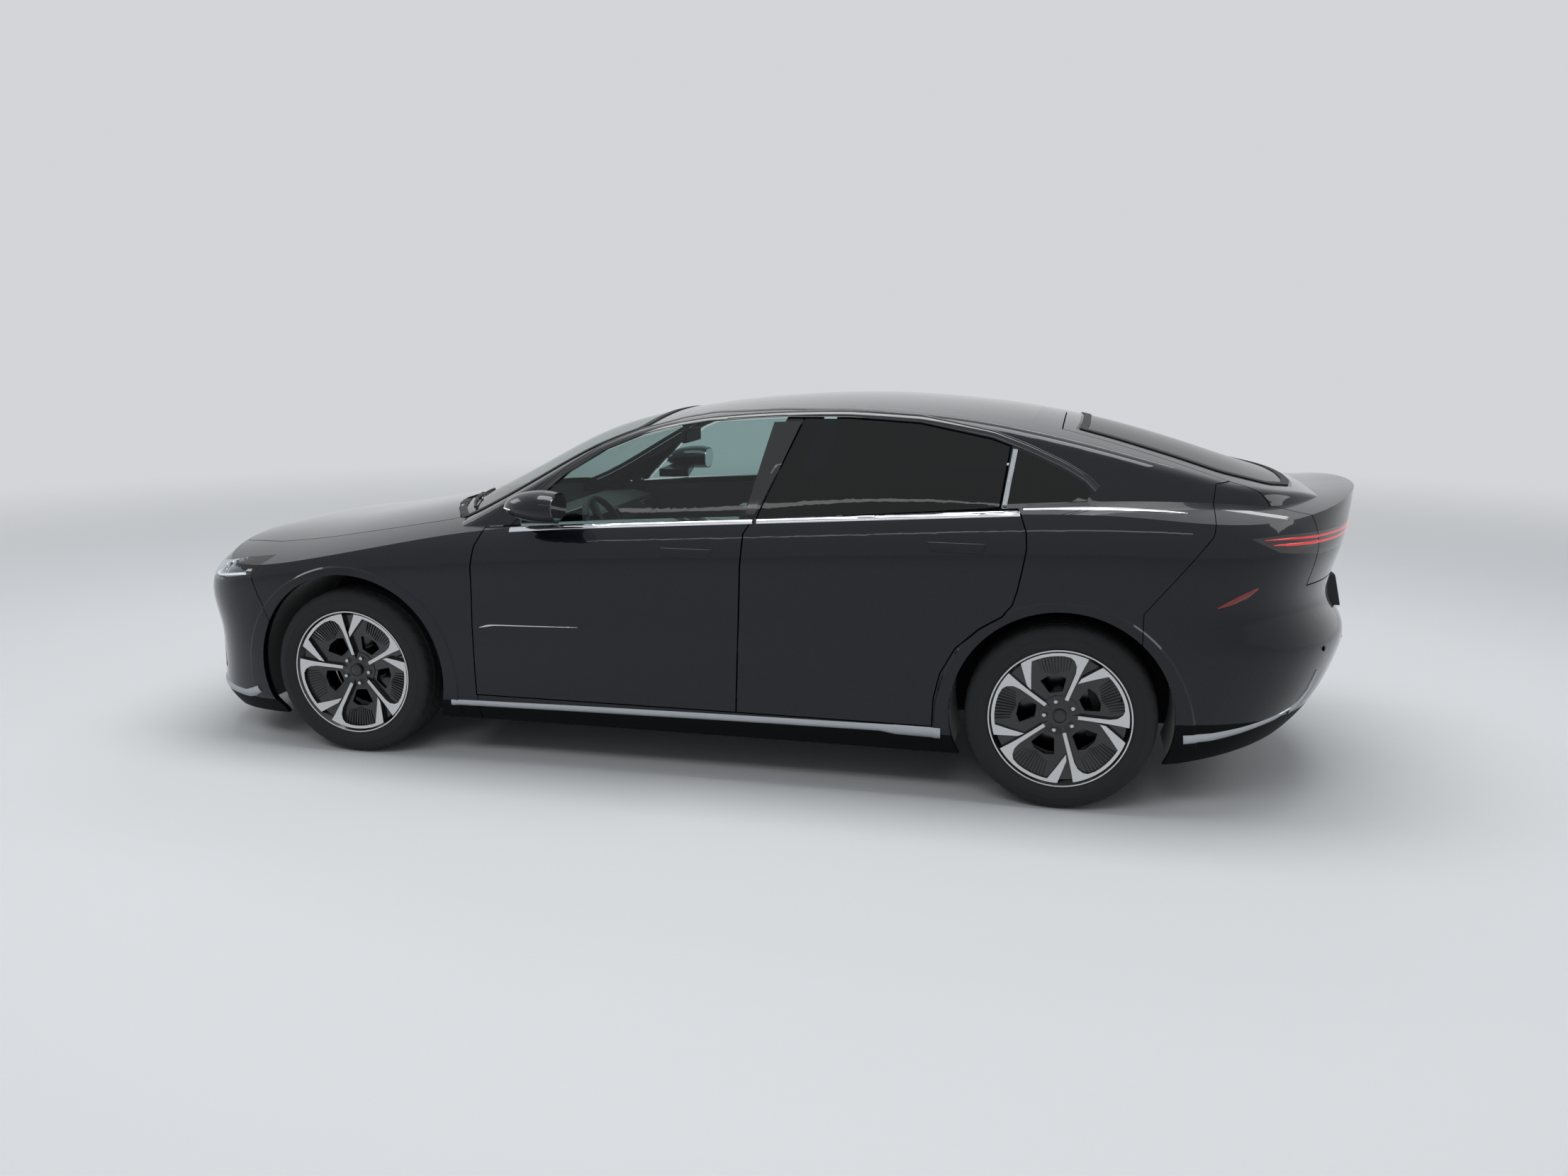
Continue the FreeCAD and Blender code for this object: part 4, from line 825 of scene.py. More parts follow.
modules = joined([projector(at_nose(x, y), z, r) for x, y, z, r in
                  ((2.392, 0.45, 0.722, 0.0145), (2.362, 0.54, 0.727, 0.0165), (2.315, 0.63, 0.735, 0.0165))])
both_sides("lamp_projectors", modules, MIRROR, "body", "mirror_glass")
fins = [tube([sunk(nose_corner, at_nose(x, y), lamp_low(x) + h, 0.024) for h in (0.028, 0.056)], 0.0016, 8)
        for x, y in ((2.24, 0.71), (2.21, 0.74), (2.18, 0.76), (2.15, 0.78), (2.12, 0.80))]
both_sides("lamp_fins", joined(fins), CHROME, "body", "satin_trim")

GRILLE_ROWS = 7
slats = []
for i in range(GRILLE_ROWS):
    z = 0.196 + 0.118 * i / (GRILLE_ROWS - 1)
    half = 0.44 + 0.09 * min(1.0, (z - 0.18) / 0.10) - 0.05 * max(0.0, (z - 0.29) / 0.03)
    slats.append(ribbon(on_nose, [(-half, z), (-half / 2, z), (0.0, z), (half / 2, z), (half, z)], 0.007, 0.0085, 60))
posts = [ribbon(on_nose, [(y, 0.19), (y, 0.322)], 0.005, 0.007, 8) for y in [-0.42 + 0.07 * k for k in range(13)]]
piece("grille_slats", *joined(slats + posts), PLASTIC, "body", "gloss_trim")
piece("grille_backing", *panel(on_nose, [(-0.462, 0.186), (0.462, 0.186)], [(-0.515, 0.324), (0.515, 0.324)],
                               0.0015, 0.002, 60, 8),
      FELT, "body", "liner_plastic")
grille_rim = [(-0.566, 0.301), (-0.474, 0.176), (0.0, 0.174), (0.474, 0.176), (0.566, 0.301), (0.474, 0.334),
              (0.0, 0.336), (-0.474, 0.334), (-0.566, 0.301)]
piece("grille_surround", *ribbon(on_nose, grille_rim, 0.009, 0.003, 160), PIANO, "body", "gloss_trim")

blade_front = [(at_nose(2.345, 0.66), 0.246), (at_nose(2.30, 0.72), 0.236), (at_nose(2.158, 0.80), 0.222),
               (at_nose(2.063, 0.85), 0.214), (at_nose(2.02, 0.87), 0.228), (at_nose(1.985, 0.885), 0.246)]
both_sides("front_blade", ribbon(nose_corner, blade_front, [0.004, 0.024, 0.032, 0.034, 0.036, 0.030], 0.006, 50),
           SILVER, "body", "satin_trim")
curtain = panel(nose_corner, [(at_nose(2.37, 0.60), 0.30), (at_nose(2.22, 0.76), 0.30)],
                [(at_nose(2.40, 0.60), 0.47), (at_nose(2.30, 0.72), 0.47)], 0.0015, 0.003, 14, 14)
both_sides("air_curtain", curtain, PLASTIC, "body", "liner_plastic")
curtain_edge = ribbon(nose_corner, [(at_nose(2.37, 0.60) + 0.004, 0.295), (at_nose(2.40, 0.60) + 0.004, 0.475)],
                      0.006, 0.006, 24)
both_sides("air_curtain_edge", curtain_edge, SILVER, "body", "satin_trim")


def plate(name, project, z, proud):
    """Blank number plate on its holder."""
    middle = [(h, project(y, z + h)) for y in (-0.2, 0.0, 0.2) for h in (-0.05, 0.05)]
    sign = 1 if middle[0][1].x > 0 else -1
    lean = (project(0.0, z + 0.05).x - project(0.0, z - 0.05).x) / 0.1
    x = sign * (max(sign * (m.x - lean * h) for h, m in middle) + proud + 0.003)
    for tag, half_u, half_v, corner, near, far, material, slot in (
            ("", 0.26, 0.056, 0.008, 0.0, -0.0022, PLATE, "plate"),
            ("_holder", 0.266, 0.062, 0.010, -0.0022, -0.060, PLASTIC, "liner_plastic")):
        verts = []
        for depth in (near * sign, far * sign):
            for y, h in rounded_frame(half_u, half_v, corner):
                verts.append((x + depth + lean * h, y, z + h))
        k = len(verts) // 2
        faces = [list(range(k)), [k + i for i in reversed(range(k))]]
        faces += [[i, (i + 1) % k, k + (i + 1) % k, k + i] for i in range(k)]
        piece(name + tag, verts, faces, material, "body", slot, smooth=False, bevel=0.0006)


plate("front_plate", on_nose, 0.415, 0.002)
plate("rear_plate", on_tail, 0.752, 0.002)
# the cover lies on the mean plane of twelve points round the towing eye's hole
TOW_Y, TOW_Z, TOW_R = -0.35, 0.492, 0.046
around_tow = [on_nose(TOW_Y + TOW_R * math.cos(a), TOW_Z + TOW_R * math.sin(a))
              for a in [math.radians(30 * k) for k in range(12)]]
tow_middle = sum(around_tow, Vector()) / 12
tow_normal = (around_tow[0] - around_tow[6]).cross(around_tow[3] - around_tow[9]).normalized()
tow_normal = tow_normal if tow_normal.x > 0 else -tow_normal
disc, disc_faces = lathe([(0.0001, 0.0022), (0.026, 0.0016), (0.0312, 0.0008), (0.0325, -0.001), (0.0325, -0.012),
                          (0.0001, -0.012)], "x", 48)
upright = Vector((0, 0, 1))
across = upright.cross(tow_normal).normalized()
rise = tow_normal.cross(across)
piece("tow_cover", [tow_middle + tow_normal * v[0] + across * v[1] + rise * v[2] for v in disc], disc_faces, PAINT,
      "body", "paint")


def sensors(project, places, end):
    """Parking sensors at the nose, or at the tail where end is -1."""
    profile = [(0.0001, 0.0018), (0.0085, 0.0016), (0.0098, 0.0006), (0.0105, 0.0012), (0.0112, -0.002),
               (0.0001, -0.002)]
    disc = lathe([(r, t * end) for r, t in profile], "x", 24)
    return joined([moved(disc, *project(y, z)) for y, z in places])


places = ((0.66, 0.42), (0.34, 0.50), (-0.66, 0.42), (-0.30, 0.545))
piece("parking_sensors", *sensors(on_nose, places, 1), PAINT, "body", "paint")

# Rear: rising blades, lamp bars over the gate, handle strip, plate lamps, sensors
both_sides("rear_blade", ribbon(tail_corner, [(at_tail(-2.19, 0.70), 0.372), (at_tail(-2.25, 0.70), 0.395),
                                              (at_tail(-2.31, 0.69), 0.445), (at_tail(-2.352, 0.70), 0.520)],
                                  [0.030, 0.026, 0.015, 0.004], 0.006, 40),
           SILVER, "body", "satin_trim")
for tag, z, width in (("upper", 1.029, 0.007), ("lower", 1.009, 0.008)):
    bar = ribbon(on_tail, [(-0.66, z), (-0.4, z), (0.0, z), (0.4, z), (0.66, z)], width, 0.002, 90)
    piece("gate_bar_" + tag, *bar, RED, "tailgate", "tail_lens")
    corner_bar = ribbon(tail_corner, [(at_tail(-2.245, 0.80), z), (at_tail(-2.33, 0.76), z),
                                      (at_tail(-2.36, 0.735), z)], width, 0.002, 16)
    both_sides("tail_bar_corner_" + tag, corner_bar, RED, "body", "tail_lens")
gate_pocket = panel(on_tail, [(-0.30, 0.885), (0.30, 0.885)], [(-0.30, 0.935), (0.30, 0.935)], 0.001, 0.003, 30, 5)
piece("gate_handle_strip", *gate_pocket, PIANO, "tailgate", "gloss_trim", bevel=0.001)
lamps = joined([panel(on_tail, [(y - 0.03, 0.832), (y + 0.03, 0.832)], [(y - 0.03, 0.842), (y + 0.03, 0.842)],
                      0.002, 0.004, 6, 3) for y in (-0.16, 0.16)])
piece("plate_lamps", *lamps, WHITE_LED, "body", "lamp_lens")
places = ((0.62, 0.60), (0.26, 0.57), (-0.26, 0.57), (-0.62, 0.60))
piece("rear_sensors", *sensors(on_tail, places, -1), PAINT, "body", "paint")


# Mirrors: glass on the back face, lamp line on the front
mirror_skin = skin_tree(["mirror_left"])
MIRROR_Y, MIRROR_Z = 1.008, 1.090
GLASS_STEPS = 48


def on_mirror(x, direction, y, z, fallback):
    """Where a ray along X from a place meets the left mirror, or the fallback."""
    hit = mirror_skin.ray_cast(Vector((x, y, z)), Vector((direction, 0, 0)))[0]
    return hit if hit is not None else Vector(fallback)


rear_face = on_mirror(0.20, 1, MIRROR_Y, MIRROR_Z, (0.532, MIRROR_Y, MIRROR_Z))
verts = []
for depth in (-0.0022, 0.0015):
    for r in (0.001, 0.5, 0.85, 1.0):
        for k in range(GLASS_STEPS):
            a = 2 * math.pi * k / GLASS_STEPS
            y = MIRROR_Y + 0.074 * r * bowed(math.cos(a), 0.8)
            z = MIRROR_Z + 0.047 * r * bowed(math.sin(a), 0.8)
            verts.append(on_mirror(0.20, 1, y, z, rear_face) + Vector((depth, 0, 0)))
ring = GLASS_STEPS
face = grid_faces(4, ring, close_cols=True)
faces = face + [[4 * ring + i for i in f] for f in face]
faces += [[3 * ring + k, 3 * ring + (k + 1) % ring, 7 * ring + (k + 1) % ring, 7 * ring + k] for k in range(ring)]
faces += [list(range(ring)), [4 * ring + k for k in range(ring)]]
both_sides("mirror_glass", (verts, faces), MIRROR, "door_front_SIDE", "mirror_glass")
lamp_arc = []
for i in range(24):
    y = 0.95 + 0.105 * i / 23
    p = on_mirror(1.2, -1, y, 1.082, (0.74, y, 1.082))
    lamp_arc.append(p + Vector((-0.0005, 0, 0)))
both_sides("mirror_lamp", tube(lamp_arc, 0.0028, 8), WHITE_LED, "door_front_SIDE", "lamp_lens")


# Cabin: padded seats
STITCH = matte("polyester_seam_thread", "#3a3c3f", 0.8, 0.8, 0.1, 0.4)


PAD_STEPS = 28
PAD_CORNER = 0.42


def pad_ring(middle, across_half, tall_half, tilt):
    """Rounded ring about a point: wide along Y, tall along a direction in the XZ plane given by tilt."""
    out = []
    for k in range(PAD_STEPS):
        a = 2 * math.pi * k / PAD_STEPS
        u = bowed(math.cos(a), PAD_CORNER) * across_half
        v = bowed(math.sin(a), PAD_CORNER) * tall_half
        out.append((middle[0] + v * math.cos(tilt), middle[1] + u, middle[2] + v * math.sin(tilt)))
    return out


def pad_shape(rows, count=18):
    """Closed rounded body with shrunken ends, from rows of x, z, half width, half thickness and tilt in degrees."""
    rings = [((x, 0.0, z), w, t, math.radians(tilt)) for x, z, w, t, tilt in smooth_line(rows, count)]
    ends = [(p, w * 0.86, t * 0.6, tilt) for p, w, t, tilt in (rings[0], rings[-1])]
    verts = []
    for ring in [ends[0]] + rings + [ends[1]]:
        verts += pad_ring(*ring)
    faces = grid_faces(count + 2, PAD_STEPS, close_cols=True)
    faces.append(list(range(PAD_STEPS)))
    faces.append([(count + 1) * PAD_STEPS + j for j in range(PAD_STEPS)])
    return verts, faces


# Rows: x, z, half width, half thickness, direction of the thickness in degrees
CUSHION = pad_shape([(-0.150, 0.425, 0.225, 0.045, 90), (-0.05, 0.424, 0.236, 0.046, 90),
                     (0.08, 0.426, 0.240, 0.048, 90), (0.20, 0.430, 0.240, 0.050, 90),
                     (0.275, 0.426, 0.228, 0.044, 84)])
BACK = pad_shape([(-0.150, 0.470, 0.212, 0.040, 14), (-0.172, 0.56, 0.226, 0.046, 14),
                  (-0.205, 0.68, 0.234, 0.050, 13), (-0.245, 0.80, 0.230, 0.049, 13),
                  (-0.285, 0.90, 0.214, 0.045, 13), (-0.312, 0.962, 0.178, 0.036, 13)])
HEAD = pad_shape([(-0.374, 1.010, 0.105, 0.026, 8), (-0.375, 1.06, 0.122, 0.033, 6), (-0.376, 1.12, 0.120, 0.033, 4),
                  (-0.377, 1.165, 0.098, 0.025, 2)])
BENCH = pad_shape([(-1.04, 0.432, 0.50, 0.048, 90), (-0.92, 0.430, 0.545, 0.050, 90),
                   (-0.76, 0.432, 0.575, 0.052, 90), (-0.63, 0.428, 0.560, 0.046, 84)], 20)
BENCH_BACK = pad_shape([(-1.025, 0.49, 0.50, 0.044, 18), (-1.06, 0.60, 0.525, 0.048, 18),
                        (-1.11, 0.75, 0.535, 0.050, 18), (-1.16, 0.88, 0.525, 0.048, 18),
                        (-1.19, 0.965, 0.50, 0.038, 18)], 20)


def remeshed(name, part, voxel):
    """Even mesh of small faces over a closed body."""
    verts, faces = part
    mesh = bpy.data.meshes.new(name)
    mesh.from_pydata([tuple(v) for v in verts], [], faces)
    made = bpy.data.objects.new(name, mesh)
    bpy.context.scene.collection.objects.link(made)
    even = made.modifiers.new("even", "REMESH")
    even.mode = "VOXEL"
    even.voxel_size = voxel
    bpy.context.view_layer.update()
    fine = bpy.data.meshes.new_from_object(made.evaluated_get(bpy.context.evaluated_depsgraph_get()))
    made.modifiers.clear()
    made.data = fine
    return made


def inflated(parts):
    """The closed bodies blown up softly as filled covers, no point moving further than its cap."""
    made = [remeshed(name, part, voxel) for name, part, voxel, cap in parts]
    before = [[v.co.copy() for v in o.data.vertices] for o in made]
    for o in made:
        cloth = o.modifiers.new("cover", "CLOTH").settings
        cloth.use_pressure = True
        cloth.uniform_pressure_force = 4.0
        cloth.effector_weights.gravity = 0.0
        cloth.quality = 4
    scene = bpy.context.scene
    for step in range(1, 21):
        scene.frame_set(step)
    graph = bpy.context.evaluated_depsgraph_get()
    shaped = [bpy.data.meshes.new_from_object(o.evaluated_get(graph)) for o in made]
    for o, mesh in zip(made, shaped):
        o.modifiers.clear()
        o.data = mesh
    scene.frame_set(1)
    for o, old, (name, part, voxel, cap) in zip(made, before, parts):
        for v, p in zip(o.data.vertices, old):
            move = v.co - p
            if move.length > cap:
                v.co = p + move * (cap / move.length)
        o.data.shade_smooth()
    return made


def copy_at(source, name, y, replaced):
    """A padded piece at its seat: a copy of the shaped cover, moved across, in place of a solid."""
    mesh = source.data.copy()
    mesh.transform(Matrix.Translation((0.0, y, 0.0)))
    mesh.materials.clear()
    mesh.materials.append(LEATHER)
    made = bpy.data.objects.new(name, mesh)
    bpy.context.scene.collection.objects.link(made)
    finer = made.modifiers.new("finer", "SUBSURF")
    finer.levels = 1
    finer.render_levels = 1
    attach(made, "body")
    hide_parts(replaced)


SEAM_R = 0.0016


def seam(source, y, starts, direction, sewn):
    """Sewn lines laid on a cover and added to a list: each line of points is dropped on it along a direction."""
    mesh = source.data
    cover = BVHTree.FromPolygons([v.co.copy() for v in mesh.vertices], [list(f.vertices) for f in mesh.polygons])
    for line in starts:
        spots = []
        for p in line:
            hit = cover.ray_cast(Vector(p), Vector(direction))[0]
            if hit is not None:
                spots.append(hit + Vector((0.0, y, 0.0)))
        if len(spots) > 3:
            sewn.append(tube(spots, SEAM_R, 6))


covers = inflated([("cover_cushion", CUSHION, 0.010, 0.018), ("cover_back", BACK, 0.010, 0.018),
                   ("cover_head", HEAD, 0.007, 0.010), ("cover_bench", BENCH, 0.014, 0.018),
                   ("cover_bench_back", BENCH_BACK, 0.014, 0.018)])
SEAT_Y = 0.385
for tag, y in (("left", SEAT_Y), ("right", -SEAT_Y)):
    seams = []
    for cover, stem in zip(covers, ("seat_cushion_", "seat_back_", "headrest_")):
        copy_at(cover, stem + tag, y, "front_seats")
    lengths = [[(-0.14 + 0.4 * i / 30, side * (0.135 + 0.012 * math.sin(math.pi * i / 30)), 0.8) for i in range(31)]
               for side in (-1, 1)]
    channels = [[(x, -0.135 + 0.27 * i / 20, 0.8) for i in range(21)] for x in (-0.02, 0.06, 0.14)]
    seam(covers[0], y, lengths + channels, (0, 0, -1), seams)
    lengths = [[(0.4, side * (0.125 + 0.010 * math.sin(math.pi * i / 30)), 0.47 + 0.47 * i / 30) for i in range(31)]
               for side in (-1, 1)]
    channels = [[(0.4, -0.125 + 0.25 * i / 20, z) for i in range(21)] for z in (0.56, 0.65, 0.74, 0.83)]
    seam(covers[1], y, lengths + channels, (-1, 0, 0), seams)
    seam(covers[2], y, [[(0.1, -0.1 + 0.2 * i / 20, 1.085) for i in range(21)]], (-1, 0, 0), seams)
    piece("seat_seams_" + tag, *joined(seams), STITCH, "body", "seat_cover")
    stays = [tube([(-0.352, y + d, 0.94), (-0.368, y + d, 1.03)], 0.006, 14) for d in (-0.055, 0.055)]
    piece("headrest_stays_" + tag, *joined(stays), CHROME, "body", "satin_trim")
    shell = [brick(-0.16, 0.235, y - 0.205, y + 0.205, 0.325, 0.384)]
    shell += [brick(-0.17, 0.225, y + d - 0.02, y + d + 0.02, 0.282, 0.330) for d in (-0.165, 0.165)]
    piece("seat_frame_" + tag, *joined(shell), PLASTIC, "body", "cabin_trim", replaces=("front_seats",), bevel=0.008)
    back_shell = pad_shape([(-0.212, 0.440, 0.20, 0.014, 14), (-0.250, 0.60, 0.215, 0.016, 14),
                            (-0.290, 0.76, 0.215, 0.016, 13), (-0.334, 0.90, 0.190, 0.014, 13),
                            (-0.352, 0.955, 0.160, 0.010, 13)])
    piece("seat_back_shell_" + tag, *moved(back_shell, 0, y, 0), PLASTIC, "body", "cabin_trim",
          replaces=("front_seats",), angle=50)

seams = []
copy_at(covers[3], "bench_cushion", 0.0, "rear_seat")
copy_at(covers[4], "bench_back", 0.0, "rear_seat")
splits = [[(-1.0 + 0.4 * i / 30, side * 0.19, 0.8) for i in range(31)] for side in (-1, 1)]
channels = [[(x, side * (0.20 + 0.30 * i / 30), 0.8) for i in range(31)] for side in (-1, 1)
            for x in (-0.88, -0.80, -0.72)]
seam(covers[3], 0.0, splits + channels, (0, 0, -1), seams)
splits = [[(-0.6, side * 0.19, 0.52 + 0.44 * i / 30) for i in range(31)] for side in (-1, 1)]
channels = [[(-0.6, side * (0.20 + 0.28 * i / 30), z) for i in range(31)] for side in (-1, 1)
            for z in (0.60, 0.69, 0.78, 0.87)]
seam(covers[4], 0.0, splits + channels, (-1, 0, 0), seams)
piece("bench_seams", *joined(seams), STITCH, "body", "seat_cover")
bench_box = [brick(-1.0, -0.62, -0.53, 0.53, 0.282, 0.386), brick(-1.25, -1.14, -0.50, 0.50, 0.42, 0.99)]
piece("bench_frame", *joined(bench_box), PLASTIC, "body", "cabin_trim", replaces=("rear_seat",), bevel=0.010)
for o in covers:
    bpy.data.objects.remove(o)

# Cabin trim
piece("floor_carpet", *joined([brick(-0.62, 1.06, 0.13, 0.690, 0.2785, 0.2845),
                               brick(-0.62, 1.06, -0.690, -0.13, 0.2785, 0.2845),
                               brick(-0.62, -0.20, -0.13, 0.13, 0.2785, 0.2845)]), CARPET, "body", "carpet")
mats = [brick(0.36, 0.98, s * SEAT_Y - 0.21, s * SEAT_Y + 0.21, 0.2850, 0.2905) for s in (-1, 1)]
piece("floor_mats", *joined(mats), CARPET, "body", "carpet", bevel=0.002)
piece("parcel_shelf", *brick(-1.62, -1.30, -0.48, 0.48, 0.955, 0.967), CARPET, "body", "carpet", bevel=0.004)
roof_low = [(-1.20, -0.46), (0.16, -0.50)]
roof_high = [(-1.20, 0.46), (0.16, 0.50)]
piece("roof_lining", *panel(on_top, roof_low, roof_high, -0.034, 0.004, 40, 20), HEADLINE, "body", "headliner")


CARD_IN, CARD_OUT = 0.781, 0.7915


def door_card(x0, x1, top0, top1, low0, low1):
    """Soft plate on the door's inner face, with sloping upper and lower edges."""
    base = []
    count = 14
    for i in range(count):
        t = i / (count - 1)
        x = x0 + (x1 - x0) * t
        for z in (low0 + (low1 - low0) * t, top0 + (top1 - top0) * t):
            for y in (CARD_IN, CARD_OUT):
                base.append((x, y, z))
    faces = []
    for i in range(count - 1):
        a, b = 4 * i, 4 * i + 4
        faces += [[a, b, b + 2, a + 2], [a + 1, a + 3, b + 3, b + 1], [a, a + 1, b + 1, b],
                  [a + 2, b + 2, b + 3, a + 3]]
    faces += [[0, 2, 3, 1], [4 * count - 4, 4 * count - 3, 4 * count - 1, 4 * count - 2]]
    return base, faces


both_sides("door_lining_front", door_card(-0.10, 0.83, 1.015, 0.958, 0.345, 0.345), SOFT_TRIM, "door_front_SIDE",
           "cabin_trim")
both_sides("door_lining_rear", door_card(-0.86, -0.25, 1.06, 1.03, 0.46, 0.345), SOFT_TRIM, "door_rear_SIDE",
           "cabin_trim")

# Dashboard details
vents = []
for y in (0.58, 0.20, -0.20, -0.58):
    for k in range(4):
        z = 0.868 + 0.013 * k
        x = 0.751 + 0.20 * (0.930 - z) * 0.5
        vents.append(brick(x - 0.010, x + 0.006, y - 0.062, y + 0.062, z - 0.0022, z + 0.0022))
piece("dash_vents", *joined(vents), CHROME, "body", "satin_trim", bevel=0.0008)
glass = []
for y in (-0.142, 0.142):
    for x, z in ((0.690, 0.706), (0.7215, 0.928)):
        glass += [(x - 0.003, y, z), (x - 0.0005, y, z)]
piece("centre_display", glass, [[0, 2, 6, 4], [1, 5, 7, 3], [0, 1, 3, 2], [4, 6, 7, 5], [0, 4, 5, 1], [2, 3, 7, 6]],
      SCREEN, "body", "gloss_trim", smooth=False)
cluster = brick(0.744, 0.752, SEAT_Y - 0.16, SEAT_Y + 0.16, 0.925, 0.985)
piece("driver_display", *cluster, SCREEN, "body", "gloss_trim", bevel=0.002)
piece("dash_light_line", *brick(0.741, 0.748, -0.66, 0.66, 0.845, 0.851), CHROME, "body", "satin_trim", bevel=0.001)
WHEEL_TILT = math.radians(24)
WHEEL_X, WHEEL_HIGH = 0.575, 0.880
COVER_STEPS = 40


def on_wheel(u, v, w):
    """Point of the steering wheel: u to the left, v up its face, w toward the driver."""
    c, s = math.cos(WHEEL_TILT), math.sin(WHEEL_TILT)
    return (WHEEL_X + v * s - w * c, SEAT_Y + u, WHEEL_HIGH + v * c + w * s)


verts = []
for w, grow in ((0.031, 0.5), (0.026, 0.72), (0.022, 0.92), (0.012, 1.0), (-0.006, 0.98)):
    for k in range(COVER_STEPS):
        a = 2 * math.pi * k / COVER_STEPS
        verts.append(on_wheel(bowed(math.cos(a), 0.6) * 0.068 * grow, bowed(math.sin(a), 0.6) * 0.052 * grow, w))
faces = grid_faces(5, COVER_STEPS, close_cols=True)
faces += [list(range(COVER_STEPS)), [4 * COVER_STEPS + k for k in range(COVER_STEPS)]]
piece("wheel_cover", verts, faces, SOFT_TRIM, "body", "cabin_trim", angle=50)
pads = []
for u in (-0.105, 0.105):
    pads.append(([on_wheel(u + a * 0.022, b * 0.014, w) for w in (0.012, 0.004)
                  for a, b in ((-1, -1), (1, -1), (1, 1), (-1, 1))],
                 [[0, 1, 2, 3], [7, 6, 5, 4], [0, 4, 5, 1], [1, 5, 6, 2], [2, 6, 7, 3], [3, 7, 4, 0]]))
piece("wheel_buttons", *joined(pads), PIANO, "body", "gloss_trim", bevel=0.002)
stalks = [tube([on_wheel(s * 0.05, -0.01, -0.06), on_wheel(s * 0.10, 0.0, -0.062),
                on_wheel(s * 0.155, 0.012, -0.058)], [0.008, 0.007, 0.009], 12)
          for s in (-1, 1)]
piece("column_stalks", *joined(stalks), PLASTIC, "body", "cabin_trim")
pedals = [brick(0.995, 1.003, 0.30, 0.345, 0.345, 0.46), brick(0.975, 0.985, 0.375, 0.455, 0.40, 0.455)]
pedals += [tube([(1.0, 0.322, 0.45), (1.04, 0.322, 0.60)], 0.008, 10),
           tube([(0.985, 0.415, 0.45), (1.04, 0.415, 0.62)], 0.009, 10)]
piece("pedals", *joined(pedals), STEEL, "body", "cabin_trim", bevel=0.0015)
piece("console_lid", *brick(0.02, 0.42, -0.098, 0.098, 0.5605, 0.5665), PIANO, "body", "gloss_trim", bevel=0.002)
piece("console_arm_rest", *brick(-0.118, 0.005, -0.105, 0.105, 0.5605, 0.600), LEATHER, "body", "seat_cover",
      bevel=0.014)
cab_mirror = [brick(0.30, 0.325, -0.115, 0.115, 1.262, 1.322),
              tube([(0.325, 0.0, 1.32), (0.36, 0.0, 1.352)], 0.010, 12)]
piece("cabin_mirror", *joined(cab_mirror), PLASTIC, "body", "cabin_trim", bevel=0.008)


# Screens: dark printed edges under the glass, wipers
def screen_band(name, half, width, body):
    """Printed edge band just under a screen's surface."""
    line = half + [(p[0], -p[1]) for p in reversed(half) if abs(p[1]) > 0.0005]
    line.append(line[0])
    piece(name, *ribbon(on_top, line, width, -0.0065, 220), SEAL, body, "seal")


shield_half = [(1.318, 0.0), (1.262, 0.328), (1.178, 0.538), (1.088, 0.692), (0.995, 0.714), (0.905, 0.710),
               (0.596, 0.664), (0.44, 0.624), (0.350, 0.588), (0.334, 0.52), (0.332, 0.30), (0.334, 0.0)]
screen_band("shield_band", shield_half, 0.034, "body")
back_half = [(-1.426, 0.0), (-1.418, 0.30), (-1.404, 0.448), (-1.62, 0.474), (-1.90, 0.490), (-2.082, 0.478),
             (-2.152, 0.404), (-2.180, 0.242), (-2.190, 0.0)]
screen_band("rear_band", back_half, 0.030, "tailgate")


def wiper(pivot, blade_line):
    """Wiper arm from its pivot to the middle of its blade, parked along the foot of the windscreen."""
    line = smooth_line(blade_line, 30)
    middle = line[15]
    arm = []
    for i in range(14):
        t = i / 13
        p, n = skin_frame(on_top, pivot[0] + (middle[0] - pivot[0]) * t, pivot[1] + (middle[1] - pivot[1]) * t)
        arm.append(p + n * (0.007 + 0.012 * math.sin(math.pi * t)))
    blade = []
    for x, y in line:
        p, n = skin_frame(on_top, x, y)
        blade.append(p + n * 0.007)
    pivot_cap = moved(lathe([(0.0001, 0.012), (0.009, 0.010), (0.012, 0.004), (0.012, -0.006), (0.0001, -0.006)],
                            "z", 20), *arm[0])
    return joined([tube(arm, [0.009] + [0.006] * 12 + [0.004], 10), tube(blade, 0.0055, 8), pivot_cap])


wipers = [wiper((1.300, 0.10), [(1.085, 0.600), (1.165, 0.440), (1.218, 0.270), (1.250, 0.080)]),
          wiper((1.215, -0.455), [(1.268, -0.030), (1.258, -0.160), (1.232, -0.290), (1.190, -0.420)])]
piece("wipers", *joined(wipers), PLASTIC, "body", "liner_plastic")


